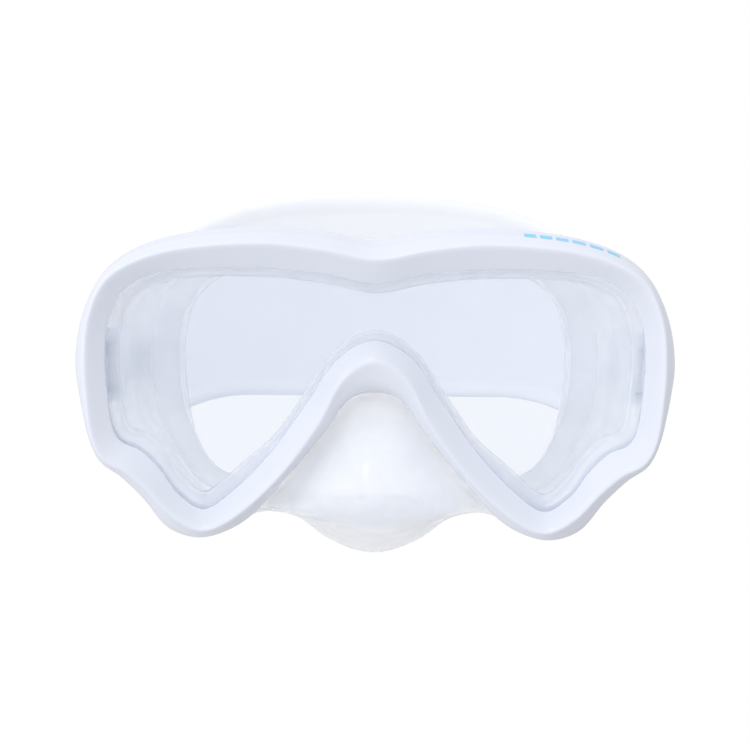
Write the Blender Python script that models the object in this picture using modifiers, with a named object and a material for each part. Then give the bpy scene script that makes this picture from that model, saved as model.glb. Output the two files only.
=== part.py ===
"""Diving mask: framed single lens, clear silicone skirt, and a strap on two swivel buckles.

Lengths are in millimetres. Mask coordinates: X to the right, Y backwards from the frame's
front crest, Z up from the eye line. An empty carries them to the world frame, in metres.
"""
import math

import bmesh
import bpy
from mathutils import Matrix, Vector

MM = 0.001
CREST_WORLD_Y = -77.95
EYE_LINE_WORLD_Z = 56.55
SIDES = {"left": -1, "right": 1}
GAP = 0.3
OVERSHOOT = 1.0
WELD = 0.03
SHARP_ANGLE = 35
ROUND_END_STEPS = 12

# Right half of the rim, from the top notch round to the peak over the nose:
# lens opening x, z; outer edge x, z; width of the bevel between the opening and the crest.
RIM_HALF = [
    (0.0, 24.8, 0.0, 36.4, 6.5),
    (14.0, 27.4, 15.0, 38.8, 6.5),
    (30.0, 29.0, 31.0, 39.9, 6.5),
    (50.0, 28.8, 52.5, 38.0, 5.6),
    (62.0, 26.8, 66.9, 33.6, 5.0),
    (70.0, 22.2, 75.8, 26.6, 5.0),
    (74.0, 13.7, 81.3, 15.7, 4.8),
    (75.0, 3.2, 83.5, 3.2, 4.7),
    (74.3, -6.8, 82.5, -7.3, 4.8),
    (72.9, -15.8, 80.3, -17.3, 5.0),
    (70.5, -19.9, 76.9, -26.0, 5.6),
    (65.3, -22.3, 70.8, -30.8, 5.8),
    (60.0, -27.2, 64.7, -36.7, 5.6),
    (54.5, -34.6, 57.2, -45.3, 4.9),
    (47.5, -38.8, 47.4, -47.7, 4.5),
    (40.0, -34.2, 36.2, -43.0, 5.0),
    (29.0, -22.9, 24.5, -30.5, 5.4),
    (19.0, -8.9, 14.0, -15.9, 5.4),
    (10.0, 4.0, 7.0, -8.2, 5.0),
    (0.0, 8.9, 0.0, -6.5, 4.7),
]
RIM_STEPS = 56

CREST_WIDTH = 1.2
LIP_FRONT = 5.0
LIP_BACK = 6.0
REBATE = 2.9
FRAME_EDGE_Y = 11.0
FRAME_BACK = 12.3
FRAME_CHAMFER = 0.9

LENS_OVERLAP = 2.5
LENS_FRONT = 6.3
LENS_THICKNESS = 4.0

RETAINER_FRONT = 12.6
RETAINER_BACK = 14.8
RETAINER_INSIDE = 0.3
RETAINER_EDGE = 1.2
RETAINER_CHAMFER = 0.8

SKIRT_THICKNESS = 1.6
FLANGE_Y = 11.5
FLANGE_REACH = 2.3
WALL_INSET = 2.7
V_WALL_INSET = 1.2
V_SPAN = (0.74, 0.82)
WALL_START_Y = 16.2
# Right half of the face seal: place along the rim (0 top, 1 nose peak), x, y, z.
SEAL_HALF = [
    (0.0, 0.0, 44.0, 31.0),
    (0.14, 27.0, 46.0, 32.0),
    (0.235, 44.0, 52.0, 28.5),
    (0.335, 56.5, 60.0, 18.0),
    (0.43, 61.0, 64.0, 3.0),
    (0.515, 60.0, 62.0, -16.0),
    (0.6, 55.0, 57.5, -32.0),
    (0.68, 44.5, 51.5, -42.0),
    (0.75, 33.0, 46.5, -44.5),
    (0.83, 21.5, 42.5, -46.2),
    (0.91, 12.5, 40.0, -52.2),
    (1.0, 0.0, 39.0, -55.9),
]
LIP_STEPS = [(3.0, -0.5), (6.0, -3.0)]
WALL_SHARES = [0.08, 0.16, 0.26, 0.38, 0.5, 0.62, 0.75, 0.88]
WRAP_START = 0.65
WRAP_END = 0.74
WRAP_Y = 18.4
WRAP_SHARE = 0.95
# The pocket's edge round the V: gap from the rim and depth, at the V's foot and past it.
POCKET_GAP = (0.3, 2.2)
POCKET_ROOT_Y = (14.8, 12.0)
POCKET_EMERGES = (0.74, 0.83)
POCKET_HALF_WIDTH = 29.0
POCKET_BOTTOM = -37.5
POCKET_SAG = 2.6
POCKET_SPREAD = 0.76
POCKET_UNDERSIDE = 0.45
# Pocket rings: share of the way down from the V to the bottom edge, how far it stands out,
# and how far it drops below that edge.
POCKET_RINGS = [(0.25, 8.0, 0.0), (0.55, 16.5, 0.0), (0.82, 20.3, 0.0), (0.97, 18.5, 0.0),
                (1.0, 12.0, 2.6)]

PIVOT_Y = 26.5
PIVOT_Z = -3.6
PIVOT_PIN_RADIUS = 1.5
LUG_INNER = (75.6, 77.2)
LUG_OUTER = (81.5, 82.7)
LUG_HALF_HEIGHT = 5.0
LUG_ROOT = 16.0
LUG_BLOCK_X = (75.3, 82.5)
LUG_BLOCK_Y = (12.9, 17.5)
LUG_BLOCK_HALF_HEIGHT = 5.2
PIN_HEAD_RADIUS = 2.4
PIN_HEAD = 0.6

STRAP_HALF_HEIGHT = 7.0
STRAP_THICKNESS = 2.0
CHEEK_INSIDE = 7.4
CHEEK_THICKNESS = 2.0
CHEEK_OUTLINE = [(76.0, 34.0), (82.8, 34.0), (83.8, 35.0), (83.8, 52.5), (82.3, 54.0),
                 (72.0, 54.0), (71.0, 53.0), (71.0, 43.0)]
WEB_X = (76.6, 81.0)
WEB_Y = (34.5, 38.0)
TONGUE_X = (77.5, 81.2)
TONGUE_ROOT = 35.5
KNUCKLE_RADIUS = 4.2

ROLLER_X = 77.0
ROLLER_Y = 50.0
ROLLER_RADIUS = 3.0
ROLLER_PIN_RADIUS = 1.2

LEVER_X = 81.4
LEVER_Y = 41.0
LEVER_PIN_RADIUS = 0.9
LEVER_BARREL_RADIUS = 2.0
LEVER_HALF_HEIGHT = 6.5
LEVER_PLATE_X = (83.0, 84.2)
LEVER_PLATE_Y = (34.5, 52.0)
LEVER_TOOTH_X = (82.5, 83.4)
LEVER_TOOTH_Y = (47.5, 49.5)
SPRING_POCKET_X = (79.0, 83.4)
SPRING_POCKET_Y = (38.5, 43.5)
SPRING_POCKET_HALF_HEIGHT = 1.9
SPRING_RADIUS = 1.45
SPRING_WIRE_RADIUS = 0.22
SPRING_TURNS = 3.5
SPRING_PITCH = 0.62
SPRING_STEPS_PER_TURN = 12
# Where the spring's two legs end, from the lever pin's middle: on the lever, then on the web.
SPRING_LEVER_LEG = (-1.25, -2.2)
SPRING_WEB_LEG = (1.2, -3.3)

LOOP_CENTRE_Y = 50.0
LOOP_HALF_DEPTH = 114.0
PAD_RISE = 7.0
PAD_RISE_SPAN = (17.0, 58.0)
PAD_SHOULDER_SPAN = (16.0, 38.0)
PAD_SHOULDER_HALF_HEIGHT = 26.5
PAD_CROWN_SPAN = (30.0, 80.0)
PAD_HALF_HEIGHT = 31.2
TAIL_JOIN_ANGLE = 8.0
TAIL_END_ANGLE = 19.0
TAIL_HANDLE = 7.0
TAIL_STEPS = 4
BEND_STEPS = 8
ROLLER_STEPS = 12
LOOP_STEPS = 30
STRAP_ROWS = (-1.0, -0.5, 0.0, 0.5, 1.0)

KEEPER_ANGLE = 14.0
KEEPER_WALL = 1.2
KEEPER_LENGTH = 6.0

MATERIALS = {
    "frame_plastic": ((0.93, 0.94, 0.97), 0.25, 0.0, 1.0),
    "lens_glass": ((0.85, 0.93, 0.97), 0.03, 0.0, 0.3),
    "skirt_silicone": ((0.88, 0.91, 0.94), 0.35, 0.0, 0.6),
    "strap_silicone": ((0.90, 0.92, 0.95), 0.5, 0.0, 1.0),
    "buckle_plastic": ((0.80, 0.82, 0.85), 0.3, 0.0, 1.0),
    "stainless": ((0.75, 0.76, 0.78), 0.25, 1.0, 1.0),
}


# ---------------------------------------------------------------- numbers and curves

def smoothstep(value, start, end):
    share = min(max((value - start) / (end - start), 0.0), 1.0)
    return share * share * (3.0 - 2.0 * share)


def half_spline(rows, knots, crossing):
    """Smooth curve through the rows of a symmetric shape's right half, as a function of place.

    The rows beyond both ends are the mirrored ones; the crossing columns change sign there.
    """
    def mirrored(row):
        return tuple(-v if column in crossing else v for column, v in enumerate(row))

    rows = [mirrored(rows[1])] + list(rows) + [mirrored(rows[-2])]
    knots = [-knots[1]] + list(knots) + [2 * knots[-1] - knots[-2]]

    def slope(i, column):
        return (rows[i + 1][column] - rows[i - 1][column]) / (knots[i + 1] - knots[i - 1])

    def curve(place):
        i = 1
        while i < len(knots) - 3 and place > knots[i + 1]:
            i += 1
        span = knots[i + 1] - knots[i]
        share = (place - knots[i]) / span
        rise = share * share * (3 - 2 * share)
        start = share * (1 - share) ** 2 * span
        end = share * share * (share - 1) * span
        return tuple(rows[i][c] * (1 - rise) + rows[i + 1][c] * rise
                     + start * slope(i, c) + end * slope(i + 1, c) for c in range(len(rows[i])))

    return curve


def run_knots(rows):
    """Knots from 0 to 1 along the opening's outline, by chord length."""
    knots = [0.0]
    for row, following in zip(rows, rows[1:]):
        knots.append(knots[-1] + math.dist(row[:2], following[:2]))
    return [knot / knots[-1] for knot in knots]


class Spoke:
    """One cut across the rim: the opening's point and the direction to the outer edge."""

    def __init__(self, place, side, rim, seal):
        open_x, open_z, edge_x, edge_z, bevel = rim(place)
        self.place = place
        self.point = Vector((side * open_x, open_z))
        reach = Vector((side * edge_x, edge_z)) - self.point
        self.width = reach.length
        self.out = reach.normalized()
        self.bevel = bevel
        seal_x, seal_y, seal_z = seal(place)
        self.seal = Vector((side * seal_x, seal_y, seal_z))
        self.side = side

    def at(self, distance, depth):
        flat = self.point + self.out * distance
        return Vector((flat.x, depth, flat.y))


def rim_spokes():
    rim = half_spline(RIM_HALF, run_knots(RIM_HALF), crossing=(0, 2))
    seal = half_spline([row[1:] for row in SEAL_HALF], [row[0] for row in SEAL_HALF], crossing=(0,))
    right = [Spoke(i / RIM_STEPS, 1, rim, seal) for i in range(RIM_STEPS + 1)]
    left = [Spoke(i / RIM_STEPS, -1, rim, seal) for i in range(RIM_STEPS - 1, 0, -1)]
    return right + left


# ---------------------------------------------------------------- meshes in mask coordinates

def mesh_from(name, build):
    """A mesh made by build(bm) in millimetres, scaled to metres."""
    bm = bmesh.new()
    build(bm)
    bmesh.ops.recalc_face_normals(bm, faces=bm.faces)
    bmesh.ops.scale(bm, vec=(MM, MM, MM), verts=bm.verts)
    mesh = bpy.data.meshes.new(name)
    bm.to_mesh(mesh)
    bm.free()
    return mesh


def box(name, x, y, z):
    def build(bm):
        size = Vector((x[1] - x[0], y[1] - y[0], z[1] - z[0]))
        centre = Vector((x[0] + x[1], y[0] + y[1], z[0] + z[1])) / 2
        scale = Matrix.Diagonal((abs(size.x), size.y, size.z, 1.0))
        bmesh.ops.create_cube(bm, size=1.0, matrix=Matrix.Translation(centre) @ scale)
    return mesh_from(name, build)


def cylinder(name, radius, start, end, segments=24):
    def build(bm):
        start_point = Vector(start)
        run = Vector(end) - start_point
        turn = run.to_track_quat("Z", "Y").to_matrix().to_4x4()
        matrix = Matrix.Translation(start_point + run / 2) @ turn
        bmesh.ops.create_cone(bm, cap_ends=True, segments=segments, radius1=radius,
                              radius2=radius, depth=run.length, matrix=matrix)
    return mesh_from(name, build)


def loft(name, rings, closed_rings=True, closed_path=True):
    """Quads between neighbouring rings of equal length."""
    def build(bm):
        grid = [[bm.verts.new(point) for point in ring] for ring in rings]
        count = len(grid[0])
        spans = list(zip(grid, grid[1:] + grid[:1])) if closed_path else list(zip(grid, grid[1:]))
        for ring, following in spans:
            for i in range(count if closed_rings else count - 1):
                j = (i + 1) % count
                bm.faces.new((ring[i], ring[j], following[j], following[i]))
    return mesh_from(name, build)


def outline_plate(name, points, thickness, place):
    """A flat outline in X and Y, extruded along Z by half its thickness each way."""
    curve = bpy.data.curves.new(name, "CURVE")
    curve.dimensions = "2D"
    curve.fill_mode = "BOTH"
    curve.extrude = thickness * MM / 2
    line = curve.splines.new("POLY")
    line.points.add(len(points) - 1)
    for target, point in zip(line.points, points):
        target.co = (point[0] * MM, point[1] * MM, 0.0, 1.0)
    line.use_cyclic_u = True
    drawing = bpy.data.objects.new(name, curve)
    bpy.context.scene.collection.objects.link(drawing)
    evaluated = drawing.evaluated_get(bpy.context.evaluated_depsgraph_get())
    mesh = bpy.data.meshes.new_from_object(evaluated)
    bpy.data.objects.remove(drawing)
    bpy.data.curves.remove(curve)
    bm = bmesh.new()
    bm.from_mesh(mesh)
    bmesh.ops.remove_doubles(bm, verts=bm.verts, dist=WELD * MM)
    bmesh.ops.recalc_face_normals(bm, faces=bm.faces)
    bm.to_mesh(mesh)
    bm.free()
    mesh.transform(place)
    return mesh


def tab(name, x, root_y, radius):
    """A plate across X that runs from its root to a round end about the buckle's pivot."""
    heading = math.copysign(1.0, PIVOT_Y - root_y)
    arc = [math.pi * (step / ROUND_END_STEPS - 0.5) for step in range(ROUND_END_STEPS + 1)]
    outline = [(root_y, -radius)]
    outline += [(PIVOT_Y + heading * radius * math.cos(a), radius * math.sin(a)) for a in arc]
    outline.append((root_y, radius))
    to_side = Matrix(((0, 0, 1, 0), (1, 0, 0, 0), (0, 1, 0, 0), (0, 0, 0, 1)))
    place = Matrix.Translation(Vector((sum(x) / 2, 0.0, PIVOT_Z)) * MM) @ to_side
    return outline_plate(name, outline, abs(x[1] - x[0]), place)


# ---------------------------------------------------------------- scene objects

def clear_scene():
    for thing in list(bpy.data.objects):
        bpy.data.objects.remove(thing)


def add_collection(name):
    collection = bpy.data.collections.new(name)
    bpy.context.scene.collection.children.link(collection)
    return collection


def add_material(name):
    colour, roughness, metallic, alpha = MATERIALS[name]
    material = bpy.data.materials.new(name)
    material.use_nodes = True
    shader = material.node_tree.nodes["Principled BSDF"]
    shader.inputs["Base Color"].default_value = (*colour, 1.0)
    shader.inputs["Roughness"].default_value = roughness
    shader.inputs["Metallic"].default_value = metallic
    shader.inputs["Alpha"].default_value = alpha
    return material


class Assembly:
    """The mask's collections, and the empties that stand on its joint axes."""

    def __init__(self):
        self.parts = add_collection("diving_mask")
        self.cutters = add_collection("cutters")
        self.places = {}
        self.axes = {}
        datum = bpy.data.objects.new("mask_datum", None)
        datum.location = (0.0, CREST_WORLD_Y * MM, EYE_LINE_WORLD_Z * MM)
        self.parts.objects.link(datum)
        self.axes["mask"] = datum
        self.places["mask"] = Vector((0.0, 0.0, 0.0))

    def add_axis(self, name, parent, place):
        empty = bpy.data.objects.new(name + "_axis", None)
        empty.parent = self.axes[parent]
        empty.location = (Vector(place) - self.places[parent]) * MM
        self.parts.objects.link(empty)
        self.axes[name] = empty
        self.places[name] = Vector(place)

    def add(self, name, mesh, axis, material=None):
        """Adds a mesh drawn in mask coordinates; without a material it is a cutting tool."""
        mesh.transform(Matrix.Translation(-self.places[axis] * MM))
        part = bpy.data.objects.new(name, mesh)
        part.parent = self.axes[axis]
        if material:
            mesh.materials.append(bpy.data.materials.get(material) or add_material(material))
            mesh.shade_smooth()
            mesh.set_sharp_from_angle(angle=math.radians(SHARP_ANGLE))
            self.parts.objects.link(part)
        else:
            part.hide_render = True
            part.display_type = "WIRE"
            self.cutters.objects.link(part)
        return part

    def join(self, part, mesh, axis):
        self.change(part, mesh, axis, "UNION")

    def cut(self, part, mesh, axis):
        self.change(part, mesh, axis, "DIFFERENCE")

    def change(self, part, mesh, axis, operation):
        modifier = part.modifiers.new(mesh.name, "BOOLEAN")
        modifier.operation = operation
        modifier.object = self.add(mesh.name, mesh, axis)


# ---------------------------------------------------------------- frame, lens and skirt

def outer_frame(mask, spokes):
    def section(spoke):
        crest = spoke.bevel + CREST_WIDTH
        return [spoke.at(0.0, LIP_FRONT), spoke.at(spoke.bevel, 0.0), spoke.at(crest, 0.0),
                spoke.at(spoke.width, FRAME_EDGE_Y),
                spoke.at(spoke.width - FRAME_CHAMFER, FRAME_BACK),
                spoke.at(REBATE, FRAME_BACK), spoke.at(REBATE, LIP_BACK), spoke.at(0.0, LIP_BACK)]

    mesh = loft("outer_frame", [section(spoke) for spoke in spokes])
    mask.add("outer_frame", mesh, "mask", "frame_plastic")


def lens(mask, spokes):
    outline = [(point.x, point.z) for point in (spoke.at(LENS_OVERLAP, 0.0) for spoke in spokes)]
    stand = Matrix.Rotation(math.radians(90), 4, "X")
    middle = Matrix.Translation((0.0, (LENS_FRONT + LENS_THICKNESS / 2) * MM, 0.0))
    mesh = outline_plate("lens", outline, LENS_THICKNESS, middle @ stand)
    mask.add("lens", mesh, "mask", "lens_glass")


def inner_frame(mask, spokes):
    def section(spoke):
        edge = spoke.width - RETAINER_EDGE
        return [spoke.at(RETAINER_INSIDE, RETAINER_FRONT), spoke.at(edge, RETAINER_FRONT),
                spoke.at(edge, RETAINER_BACK - RETAINER_CHAMFER),
                spoke.at(edge - RETAINER_CHAMFER, RETAINER_BACK),
                spoke.at(RETAINER_INSIDE, RETAINER_BACK)]

    mesh = loft("inner_frame", [section(spoke) for spoke in spokes])
    frame = mask.add("inner_frame", mesh, "mask", "frame_plastic")
    for side_name, side in SIDES.items():
        block_z = (PIVOT_Z - LUG_BLOCK_HALF_HEIGHT, PIVOT_Z + LUG_BLOCK_HALF_HEIGHT)
        block = box("lug_block_" + side_name, [side * x for x in LUG_BLOCK_X], LUG_BLOCK_Y, block_z)
        mask.join(frame, block, "mask")
        for lug_name, lug_x in (("inner", LUG_INNER), ("outer", LUG_OUTER)):
            name = "lug_" + lug_name + "_" + side_name
            lug = tab(name, [side * x for x in lug_x], LUG_ROOT, LUG_HALF_HEIGHT)
            mask.join(frame, lug, "mask")
        hole_ends = [(side * x, PIVOT_Y, PIVOT_Z)
                     for x in (LUG_INNER[0] - OVERSHOOT, LUG_OUTER[1] + OVERSHOOT)]
        hole = cylinder("lug_hole_" + side_name, PIVOT_PIN_RADIUS + GAP, *hole_ends)
        mask.cut(frame, hole, "mask")


def bottom_edge(place, side):
    """The nose pocket's lower front edge, from the V's foot to the middle."""
    run = 1.0 - min(max((place - WRAP_END) / (1.0 - WRAP_END), 0.0), 1.0)
    return Vector((side * POCKET_HALF_WIDTH * run, 0.0, POCKET_BOTTOM - POCKET_SAG * run * run))


def pocket_points(spoke):
    """Behind the retainer, round the V's edge and over the nose pocket to its underside."""
    beyond = 1.0 - min(max((spoke.place - POCKET_SPREAD) / (1.0 - POCKET_SPREAD), 0.0), 1.0)
    fullness = 1.0 - beyond * beyond
    emerged = smoothstep(spoke.place, *POCKET_EMERGES)
    gap = POCKET_GAP[0] + (POCKET_GAP[1] - POCKET_GAP[0]) * emerged
    root_y = POCKET_ROOT_Y[0] + (POCKET_ROOT_Y[1] - POCKET_ROOT_Y[0]) * emerged
    edge = spoke.at(spoke.width + gap, root_y)
    points = [spoke.at(WRAP_SHARE * spoke.width, WRAP_Y), edge]
    for share, stand, drop in POCKET_RINGS:
        point = edge.lerp(bottom_edge(spoke.place, spoke.side), share)
        point.y = root_y - stand * fullness
        point.z -= drop * fullness
        points.append(point)
    points.append(points[-1].lerp(spoke.seal, POCKET_UNDERSIDE))
    return points


def wall_inset(place):
    """How far inside the lens opening the skirt's wall stands: less along the V."""
    return WALL_INSET + (V_WALL_INSET - WALL_INSET) * smoothstep(place, *V_SPAN)


def skirt(mask, spokes):
    count = len(spokes)
    rings = []
    for i, spoke in enumerate(spokes):
        inset = wall_inset(spoke.place)
        root = spoke.at(-inset, WALL_START_Y)
        wall = [root.lerp(spoke.seal, share) for share in WALL_SHARES]
        wrap = smoothstep(spoke.place, WRAP_START, WRAP_END)
        wall = [plain.lerp(pocket, wrap) for plain, pocket in zip(wall, pocket_points(spoke))]
        along = spokes[(i + 1) % count].seal - spokes[i - 1].seal
        inward = Vector((-along.z, 0.0, along.x)).normalized()
        lip = [spoke.seal - inward * step + Vector((0.0, rise, 0.0)) for step, rise in LIP_STEPS]
        flange = [spoke.at(FLANGE_REACH, FLANGE_Y), spoke.at(-inset, FLANGE_Y)]
        rings.append(flange + [root] + wall + [spoke.seal] + lip)
    part = mask.add("skirt", loft("skirt", rings, closed_rings=False), "mask", "skirt_silicone")
    shell = part.modifiers.new("shell", "SOLIDIFY")
    shell.thickness = SKIRT_THICKNESS * MM
    shell.offset = 0.0


# ---------------------------------------------------------------- buckles

def pivot_pin(mask, side_name, side):
    name = "pivot_pin_" + side_name
    shank_ends = [(side * x, PIVOT_Y, PIVOT_Z) for x in (LUG_INNER[0], LUG_OUTER[1] + GAP + PIN_HEAD)]
    head_ends = [(side * (LUG_OUTER[1] + x), PIVOT_Y, PIVOT_Z) for x in (GAP, GAP + PIN_HEAD)]
    pin = mask.add(name, cylinder(name, PIVOT_PIN_RADIUS, *shank_ends), "mask", "stainless")
    mask.join(pin, cylinder("pin_head_" + side_name, PIN_HEAD_RADIUS, *head_ends), "mask")


def cheek_plate(name, side, middle_z):
    outline = [(side * x, y) for x, y in CHEEK_OUTLINE]
    return outline_plate(name, outline, CHEEK_THICKNESS, Matrix.Translation((0, 0, middle_z * MM)))


def buckle_body(mask, side_name, side):
    name = "buckle_body_" + side_name
    cheek_outside = CHEEK_INSIDE + CHEEK_THICKNESS
    web = box(name, (side * WEB_X[0], side * WEB_X[1]), WEB_Y,
              (PIVOT_Z - CHEEK_INSIDE - GAP, PIVOT_Z + CHEEK_INSIDE + GAP))
    body = mask.add(name, web, "strap", "buckle_plastic")
    for cheek_name, way in (("top", 1), ("bottom", -1)):
        middle = PIVOT_Z + way * (CHEEK_INSIDE + CHEEK_THICKNESS / 2)
        mask.join(body, cheek_plate("cheek_" + cheek_name + "_" + side_name, side, middle), "strap")
    tongue = tab("tongue_" + side_name, [side * x for x in TONGUE_X], TONGUE_ROOT, KNUCKLE_RADIUS)
    mask.join(body, tongue, "strap")
    bore_ends = [(side * x, PIVOT_Y, PIVOT_Z)
                 for x in (TONGUE_X[0] - OVERSHOOT, TONGUE_X[1] + OVERSHOOT)]
    bore = cylinder("knuckle_bore_" + side_name, PIVOT_PIN_RADIUS + GAP, *bore_ends)
    mask.cut(body, bore, "strap")
    for hole_name, radius, x, y in (("roller_pin_hole_", ROLLER_PIN_RADIUS, ROLLER_X, ROLLER_Y),
                                    ("lever_pin_hole_", LEVER_PIN_RADIUS, LEVER_X, LEVER_Y)):
        hole_ends = [(side * x, y, PIVOT_Z + way * (cheek_outside + OVERSHOOT)) for way in (-1, 1)]
        mask.cut(body, cylinder(hole_name + side_name, radius + GAP, *hole_ends), "strap")


def cheek_pin(mask, name, radius, x, y):
    half_length = CHEEK_INSIDE + CHEEK_THICKNESS
    ends = [(x, y, PIVOT_Z - half_length), (x, y, PIVOT_Z + half_length)]
    mask.add(name, cylinder(name, radius, *ends), "strap", "stainless")


def strap_roller(mask, side_name, side):
    name = "strap_roller_" + side_name
    half_length = CHEEK_INSIDE - GAP
    ends = [(side * ROLLER_X, ROLLER_Y, PIVOT_Z + way * half_length) for way in (-1, 1)]
    bore_ends = [(side * ROLLER_X, ROLLER_Y, PIVOT_Z + way * (half_length + OVERSHOOT))
                 for way in (-1, 1)]
    roller = mask.add(name, cylinder(name, ROLLER_RADIUS, *ends), name, "buckle_plastic")
    bore = cylinder("roller_bore_" + side_name, ROLLER_PIN_RADIUS + GAP, *bore_ends)
    mask.cut(roller, bore, name)


def release_lever(mask, side_name, side):
    name = "release_lever_" + side_name
    span_z = (PIVOT_Z - LEVER_HALF_HEIGHT, PIVOT_Z + LEVER_HALF_HEIGHT)
    plate = box(name, [side * x for x in LEVER_PLATE_X], LEVER_PLATE_Y, span_z)
    lever = mask.add(name, plate, name, "buckle_plastic")
    barrel_ends = [(side * LEVER_X, LEVER_Y, z) for z in span_z]
    mask.join(lever, cylinder("lever_barrel_" + side_name, LEVER_BARREL_RADIUS, *barrel_ends), name)
    tooth = box("lever_tooth_" + side_name, [side * x for x in LEVER_TOOTH_X], LEVER_TOOTH_Y, span_z)
    mask.join(lever, tooth, name)
    pocket = box("spring_pocket_" + side_name, [side * x for x in SPRING_POCKET_X], SPRING_POCKET_Y,
                 (PIVOT_Z - SPRING_POCKET_HALF_HEIGHT, PIVOT_Z + SPRING_POCKET_HALF_HEIGHT))
    mask.cut(lever, pocket, name)
    hole_ends = [(side * LEVER_X, LEVER_Y, PIVOT_Z + way * (LEVER_HALF_HEIGHT + OVERSHOOT))
                 for way in (-1, 1)]
    mask.cut(lever, cylinder("lever_bore_" + side_name, LEVER_PIN_RADIUS + GAP, *hole_ends), name)


def lever_spring(mask, side_name, side):
    """A torsion spring round the lever's pin, its two legs on the lever and the web."""
    name = "lever_spring_" + side_name
    lever = "release_lever_" + side_name
    half_height = SPRING_TURNS * SPRING_PITCH / 2
    points = [(side * SPRING_LEVER_LEG[0], SPRING_LEVER_LEG[1], -half_height)]
    for i in range(round(SPRING_TURNS * SPRING_STEPS_PER_TURN) + 1):
        turns = i / SPRING_STEPS_PER_TURN
        angle = math.pi + 2 * math.pi * turns
        points.append((side * SPRING_RADIUS * math.cos(angle), SPRING_RADIUS * math.sin(angle),
                       SPRING_PITCH * turns - half_height))
    points.append((side * SPRING_WEB_LEG[0], SPRING_WEB_LEG[1], half_height))
    curve = bpy.data.curves.new(name, "CURVE")
    curve.dimensions = "3D"
    curve.bevel_depth = SPRING_WIRE_RADIUS * MM
    curve.bevel_resolution = 2
    curve.use_fill_caps = True
    line = curve.splines.new("POLY")
    line.points.add(len(points) - 1)
    for target, point in zip(line.points, points):
        target.co = (*(Vector(point) * MM), 1.0)
    spring = bpy.data.objects.new(name, curve)
    spring.parent = mask.axes[lever]
    curve.materials.append(bpy.data.materials["stainless"])
    mask.parts.objects.link(spring)


# ---------------------------------------------------------------- strap

def loop_point(degrees, offset=0.0):
    """Plan view of the strap's middle line, from the right roller (0) to the back (90)."""
    angle = math.radians(degrees)
    return ((ROLLER_X - ROLLER_RADIUS - GAP - STRAP_THICKNESS / 2 + offset) * math.cos(angle),
            LOOP_CENTRE_Y + (LOOP_HALF_DEPTH + offset) * math.sin(angle))


def strap_stations():
    """Right half of the strap, tail end first: plan x, y, middle z and half height."""
    fold = STRAP_THICKNESS + GAP
    stations = []
    for step in range(TAIL_STEPS + 1):
        degrees = TAIL_END_ANGLE + (TAIL_JOIN_ANGLE - TAIL_END_ANGLE) * step / TAIL_STEPS
        stations.append((*loop_point(degrees, fold), 0.0, STRAP_HALF_HEIGHT))
    turn = ROLLER_RADIUS + GAP + STRAP_THICKNESS / 2
    join = Vector(loop_point(TAIL_JOIN_ANGLE, fold))
    heading = (join - Vector(loop_point(TAIL_JOIN_ANGLE + 1, fold))).normalized()
    outside = Vector((ROLLER_X + turn, ROLLER_Y))
    handles = (join, join + heading * TAIL_HANDLE, outside + Vector((0.0, TAIL_HANDLE)), outside)
    for step in range(1, BEND_STEPS):
        share = step / BEND_STEPS
        rest = 1 - share
        weights = (rest ** 3, 3 * share * rest ** 2, 3 * share ** 2 * rest, share ** 3)
        point = sum((handle * weight for handle, weight in zip(handles, weights)), Vector((0.0, 0.0)))
        stations.append((*point, 0.0, STRAP_HALF_HEIGHT))
    for step in range(ROLLER_STEPS):
        angle = math.pi * step / ROLLER_STEPS
        stations.append((ROLLER_X + turn * math.cos(angle), ROLLER_Y - turn * math.sin(angle),
                         0.0, STRAP_HALF_HEIGHT))
    for step in range(LOOP_STEPS + 1):
        degrees = 90.0 * step / LOOP_STEPS
        rise = PAD_RISE * smoothstep(degrees, *PAD_RISE_SPAN)
        shoulder = smoothstep(degrees, *PAD_SHOULDER_SPAN)
        crown = smoothstep(degrees, *PAD_CROWN_SPAN)
        half = STRAP_HALF_HEIGHT + (PAD_SHOULDER_HALF_HEIGHT - STRAP_HALF_HEIGHT) * shoulder
        half += (PAD_HALF_HEIGHT - PAD_SHOULDER_HALF_HEIGHT) * crown
        stations.append((*loop_point(degrees), rise, half))
    return stations


def strap(mask):
    right = strap_stations()
    left = [(-x, y, z, half) for x, y, z, half in reversed(right[:-1])]
    rings = [[(x, y, PIVOT_Z + z + half * way) for way in STRAP_ROWS]
             for x, y, z, half in right + left]
    mesh = loft("strap", rings, closed_rings=False, closed_path=False)
    part = mask.add("strap", mesh, "strap", "strap_silicone")
    band = part.modifiers.new("band", "SOLIDIFY")
    band.thickness = STRAP_THICKNESS * MM
    band.offset = 0.0


def strap_keeper(mask, side_name, side):
    """A loop round the strap and its tail; its window is the doubled strap with room to slide."""
    name = "strap_keeper_" + side_name
    window = (2 * (STRAP_THICKNESS + GAP) + GAP, KEEPER_LENGTH + 2 * OVERSHOOT,
              2 * (STRAP_HALF_HEIGHT + GAP))
    ring = box(name, *[(-size / 2, size / 2) for size in
                       (window[0] + 2 * KEEPER_WALL, KEEPER_LENGTH, window[2] + 2 * KEEPER_WALL)])
    hole = box("keeper_window_" + side_name, *[(-size / 2, size / 2) for size in window])
    middle_x, middle_y = loop_point(KEEPER_ANGLE, (STRAP_THICKNESS + GAP) / 2)
    ahead = Vector(loop_point(KEEPER_ANGLE + 1)) - Vector(loop_point(KEEPER_ANGLE - 1))
    turn = Matrix.Rotation(side * math.atan2(-ahead.x, ahead.y), 4, "Z")
    place = Matrix.Translation(Vector((side * middle_x, middle_y, PIVOT_Z)) * MM) @ turn
    ring.transform(place)
    hole.transform(place)
    keeper = mask.add(name, ring, name, "strap_silicone")
    mask.cut(keeper, hole, name)


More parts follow.
